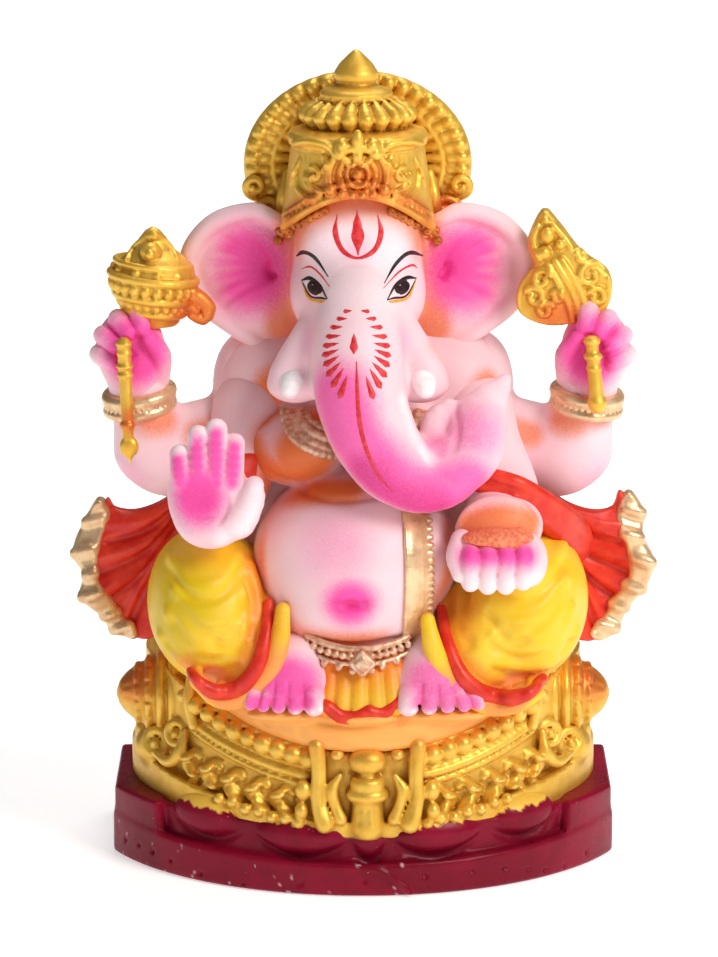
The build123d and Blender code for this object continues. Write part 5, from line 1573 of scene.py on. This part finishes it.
class IDOL_OT_shawl(bpy.types.Operator):
    """Model the flared red shawl with its pale gold borders and the drape over the arm"""
    bl_idname = "idol.shawl"
    bl_label = "Shawl"

    def execute(self, context):
        rims = {-1: [(64.6, 88.6), (68.4, 82.8), (71.2, 75.4), (68.4, 70.2), (69.4, 64.8), (64.2, 59.4), (62.0, 55.6),
                     (56.4, 53.2)], 1: [(65.0, 90.4), (68.8, 85.2), (68.4, 79.4), (71.2, 73.6), (69.0, 66.4),
                (65.0, 61.4), (62.8, 56.0), (58.6, 53.2)]}
        for side, word in ((-1, "right"), (1, "left")):
            rim = rims[side]
            neck = (36.0, 96.0)

            def folds(x, z):
                swing = np.arctan2(neck[1] - z, np.abs(x) - neck[0] + 1e-3)
                reach = np.sqrt((np.abs(x) - neck[0]) ** 2 + (z - neck[1]) ** 2)
                return 1.6 - np.clip(reach / 34, 0,
                                     1.2) * (1.7 * np.cos(9.5 * swing + 0.6 * side) + 0.35 * np.cos(21 * swing + 1.0))

            low, high = ((-73, -9, 49), (-36, 12, 99)) if side < 0 else ((36, -9, 49), (73, 12, 99))
            cloth = Clay(low, high, 0.5)
            inside = [(x - 2.2, z) for x, z in rim]
            outline = [(38, 97), (44, 91.6), (50, 87.4), (56, 85.4), (61, 86.2)] + inside + [(50, 55), (42, 62)]
            cloth.add(sheet([(side * x, z) for x, z in outline], folds, 7.6, 1.2))
            for n, (x, z) in enumerate(((64, 82), (66, 74), (64, 66), (58.5, 58.5))):
                cloth.ridge([(side * 43, 90 - 2.4 * n), (side * (52 + n * 0.4), 84 - 5.5 * n), (side * x, z)], 1.5,
                            0.8, 1.3, 0.5)
                cloth.score([(side * 44.5, 87.4 - 2.6 * n), (side * (53 + n * 0.2), 80.8 - 5.2 * n),
                             (side * (x - 0.6), z - 4.0)], 1.0, 0.9, 0.9)
            finish(cloth.skin(word + "_shawl"), "red_cloth", "red", word + "_shawl")

            trim = Clay(low, high, 0.45)
            band = rim + [(55.4, 55.4), (59.4, 59.8), (61.6, 64.4), (65.0, 69.6), (64.6, 74.4), (63.8, 79.4),
                          (61.8, 85.0)]
            trim.add(sheet([(side * x, z) for x, z in band], lambda x, z: folds(x, z) - 1.3, 7.9, 1.3))
            for n, (x, z) in enumerate(rim[1:-1]):
                inner = (x - 4.6, z + 1.2)
                trim.ridge([(side * inner[0], inner[1]), (side * (x - 0.8), z)], 1.6, 1.1, 1.0, 0.9)
            finish(trim.skin(word + "_shawl_border", (), 1.6), "border_gold", "pale", word + "_shawl_border")

        drape = Clay((22, -33, 70), (60, 10, 106), 0.5)
        line = [(28.2, -25.0, 99.6), (36.6, -26.0, 97.0), (43.4, -21.0, 91.6), (48.0, -15.0, 86.6), (51.0, -7.0, 82.0),
                (52, 2.0, 78.0)]
        drape.add(rope([(x, y + 1.5, z - 1.5) for x, y, z in line], [2.4, 3.4, 4.2, 4.6, 4.8, 4.0]))
        drape.add(rope([(x + 1.0, y - 0.6, z + 1.6) for x, y, z in line], [1.6, 1.8, 2.2, 2.6, 2.6, 2.4]), 0.9)
        drape.add(rope([(x - 0.6, y - 1.8, z - 2.0) for x, y, z in line[1:]], [1.2, 1.8, 2.4, 2.8, 2.8]), 0.9)
        finish(drape.skin("shawl_drape", (), 1.3), "red_cloth", "red", "shawl_drape")
        # the shawl's end over the right shoulder
        band = stroke(KEPT["blessing_arm"], [(-30.2, 101.0), (-27.8, 101.2), (-25.4, 101.0)], [5.6, 5.6, 5.4], 0.6, 7,
                      0.4)
        finish(strokes("shoulder_band", [band]), "red_cloth", "red")
        return {"FINISHED"}


# ---------------------------------------------------------------- stage
class IDOL_OT_stage(bpy.types.Operator):
    """Set the pale floor, the soft lights and the camera"""
    bl_idname = "idol.stage"
    bl_label = "Stage"

    def execute(self, context):
        settings = context.scene.idol_stage
        count, reach = 24, 9.0
        row = count + 1
        spots = [(reach * 1000 * (i / count * 2 - 1), reach * 1000 * (j / count * 2 - 1), -0.05)
                 for i in range(row) for j in range(row)]
        quads = [(i * row + j, (i + 1) * row + j, (i + 1) * row + j + 1, i * row + j + 1)
                 for i in range(count) for j in range(count)]
        floor = make_mesh("floor", np.array(spots), np.array(quads))
        sheet_paint = Paintwork("white paper floor", 0.9, specular=0.1)
        tint = sheet_paint.mix(sheet_paint.span(sheet_paint.noise(60.0), 0.3, 0.7), (0.93, 0.93, 0.93, 1),
                               (0.9, 0.9, 0.9, 1))
        floor.data.materials.append(sheet_paint.done(tint, 0.02, 3.0))
        sheet_paint.shader.inputs["Emission Color"].default_value = (1, 1, 1, 1)
        away = sheet_paint.node("ShaderNodeVectorMath", operation="LENGTH")
        sheet_paint.link(sheet_paint.node("ShaderNodeTexCoord").outputs["Object"], away.inputs[0])
        glow = sheet_paint.span(away.outputs["Value"], 0.1, 0.7, settings.paper, 1.0)
        sheet_paint.link(glow, sheet_paint.shader.inputs["Emission Strength"])

        scene = context.scene
        scene.view_settings.view_transform = "Standard"
        world = bpy.data.worlds.new("studio air")
        world.use_nodes = True
        world.node_tree.nodes["Background"].inputs["Color"].default_value = (1.0, 0.985, 0.98, 1)
        world.node_tree.nodes["Background"].inputs["Strength"].default_value = settings.air
        scene.world = world
        for name, place, size, power, tint in (
            ("key", (0.75, -0.75, 0.85), 0.55, settings.key, (1.0, 0.97, 0.94)),
            ("fill", (-0.9, -0.8, 0.45), 0.7, settings.key * 0.05, (0.94, 0.95, 1.0)),
            ("top", (0.1, 0.35, 1.0), 0.6, settings.key * 0.35, (1.0, 1.0, 1.0)),
        ):
            lamp = bpy.data.lights.new(name, "AREA")
            lamp.size, lamp.energy, lamp.color = size, power, tint
            stand = bpy.data.objects.new(name, lamp)
            stand.location = place
            stand.rotation_euler = (Vector((0, 0, 0.09)) - Vector(place)).to_track_quat("-Z", "Y").to_euler()
            context.collection.objects.link(stand)

        aim = Vector((-0.0010, 0.0, 0.0943))
        tilt = settings.tilt
        spot = aim + settings.distance * Vector((0, -cos(tilt), sin(tilt)))
        lens = bpy.data.cameras.new("camera")
        lens.sensor_fit = "VERTICAL"
        lens.sensor_height = SENSOR
        lens.lens = settings.frame_scale * settings.distance * 1000 * SENSOR / FRAME_TALL
        lens.clip_end = 60
        camera = bpy.data.objects.new("camera", lens)
        camera.location = spot
        camera.rotation_euler = (aim - spot).to_track_quat("-Z", "Y").to_euler()
        context.collection.objects.link(camera)
        scene.camera = camera
        return {"FINISHED"}


# ---------------------------------------------------------------- settings and sidebar
def paint_pot(name, description, *rgb):
    """A colour for the sidebar, from everyday 0 to 255 values."""
    return FloatVectorProperty(name=name, description=description, subtype="COLOR", size=3, default=colour(*rgb)[:3])


class IdolColours(bpy.types.PropertyGroup):
    """The paints a maker would mix"""
    flesh: paint_pot("Flesh", "Chalky ground of the skin", 250, 212, 219)
    magenta: paint_pot("Magenta", "Airbrushed pink", 250, 84, 172)
    orange: paint_pot("Orange", "Airbrushed orange on the skin", 242, 122, 44)
    gold: paint_pot("Gold", "Bronze-powder paint", 242, 196, 80)
    pale_gold: paint_pot("Pale gold", "Borders, bracelets and sash", 226, 184, 140)
    maroon: paint_pot("Maroon", "Enamel of the plinth", 142, 14, 46)
    yellow: paint_pot("Yellow", "Trousers", 248, 202, 34)
    seat: paint_pot("Seat", "Padded seat", 252, 182, 92)
    red: paint_pot("Red", "Shawl and hems", 214, 40, 26)


class IdolStage(bpy.types.PropertyGroup):
    """Camera and light"""
    tilt: FloatProperty(name="Tilt", description="How far the camera looks down", subtype="ANGLE", default=radians(12))
    distance: FloatProperty(name="Distance", description="From the camera to the idol", subtype="DISTANCE",
                            unit="LENGTH", default=1.3)
    frame_scale: FloatProperty(name="Frame scale", description="How large the idol stands in the frame", default=4.105)
    air: FloatProperty(name="Air", description="Brightness of the light all round", default=0.1)
    paper: FloatProperty(name="Paper glow", description="Brightness the paper floor adds to itself near the idol",
                         default=0.56)
    key: FloatProperty(name="Key light", description="Power of the soft key light", subtype="POWER", unit="POWER",
                       default=12.0)


class IDOL_PT_pieces(bpy.types.Panel):
    """Lists the idol's pieces and settings"""
    bl_label = "Shrine idol"
    bl_idname = "IDOL_PT_pieces"
    bl_space_type = "VIEW_3D"
    bl_region_type = "UI"
    bl_category = "Idol"

    def draw(self, context):
        column = self.layout.column(align=True)
        for maker in MAKERS:
            column.operator(maker.bl_idname)
        for group in (context.scene.idol_colours, context.scene.idol_stage):
            box = self.layout.box()
            for word in group.__annotations__:
                box.prop(group, word)


MAKERS = (IDOL_OT_head, IDOL_OT_face_marks, IDOL_OT_plinth, IDOL_OT_throne, IDOL_OT_seat, IDOL_OT_torso, IDOL_OT_legs,
          IDOL_OT_ornaments, IDOL_OT_crown, IDOL_OT_halo, IDOL_OT_hair, IDOL_OT_rear_arms, IDOL_OT_emblems,
          IDOL_OT_front_arms, IDOL_OT_shawl, IDOL_OT_stage)

GROUPS = (("idol_colours", IdolColours), ("idol_stage", IdolStage))


def register():
    for word, group in GROUPS:
        bpy.utils.register_class(group)
        setattr(bpy.types.Scene, word, PointerProperty(type=group))
    for maker in MAKERS + (IDOL_PT_pieces,):
        bpy.utils.register_class(maker)


def unregister():
    for maker in (IDOL_PT_pieces,) + MAKERS[::-1]:
        bpy.utils.unregister_class(maker)
    for word, group in GROUPS[::-1]:
        delattr(bpy.types.Scene, word)
        bpy.utils.unregister_class(group)


def main():
    register()
    for maker in MAKERS:
        kind, word = maker.bl_idname.split(".")
        getattr(getattr(bpy.ops, kind), word)()


if __name__ == "__main__":
    main()
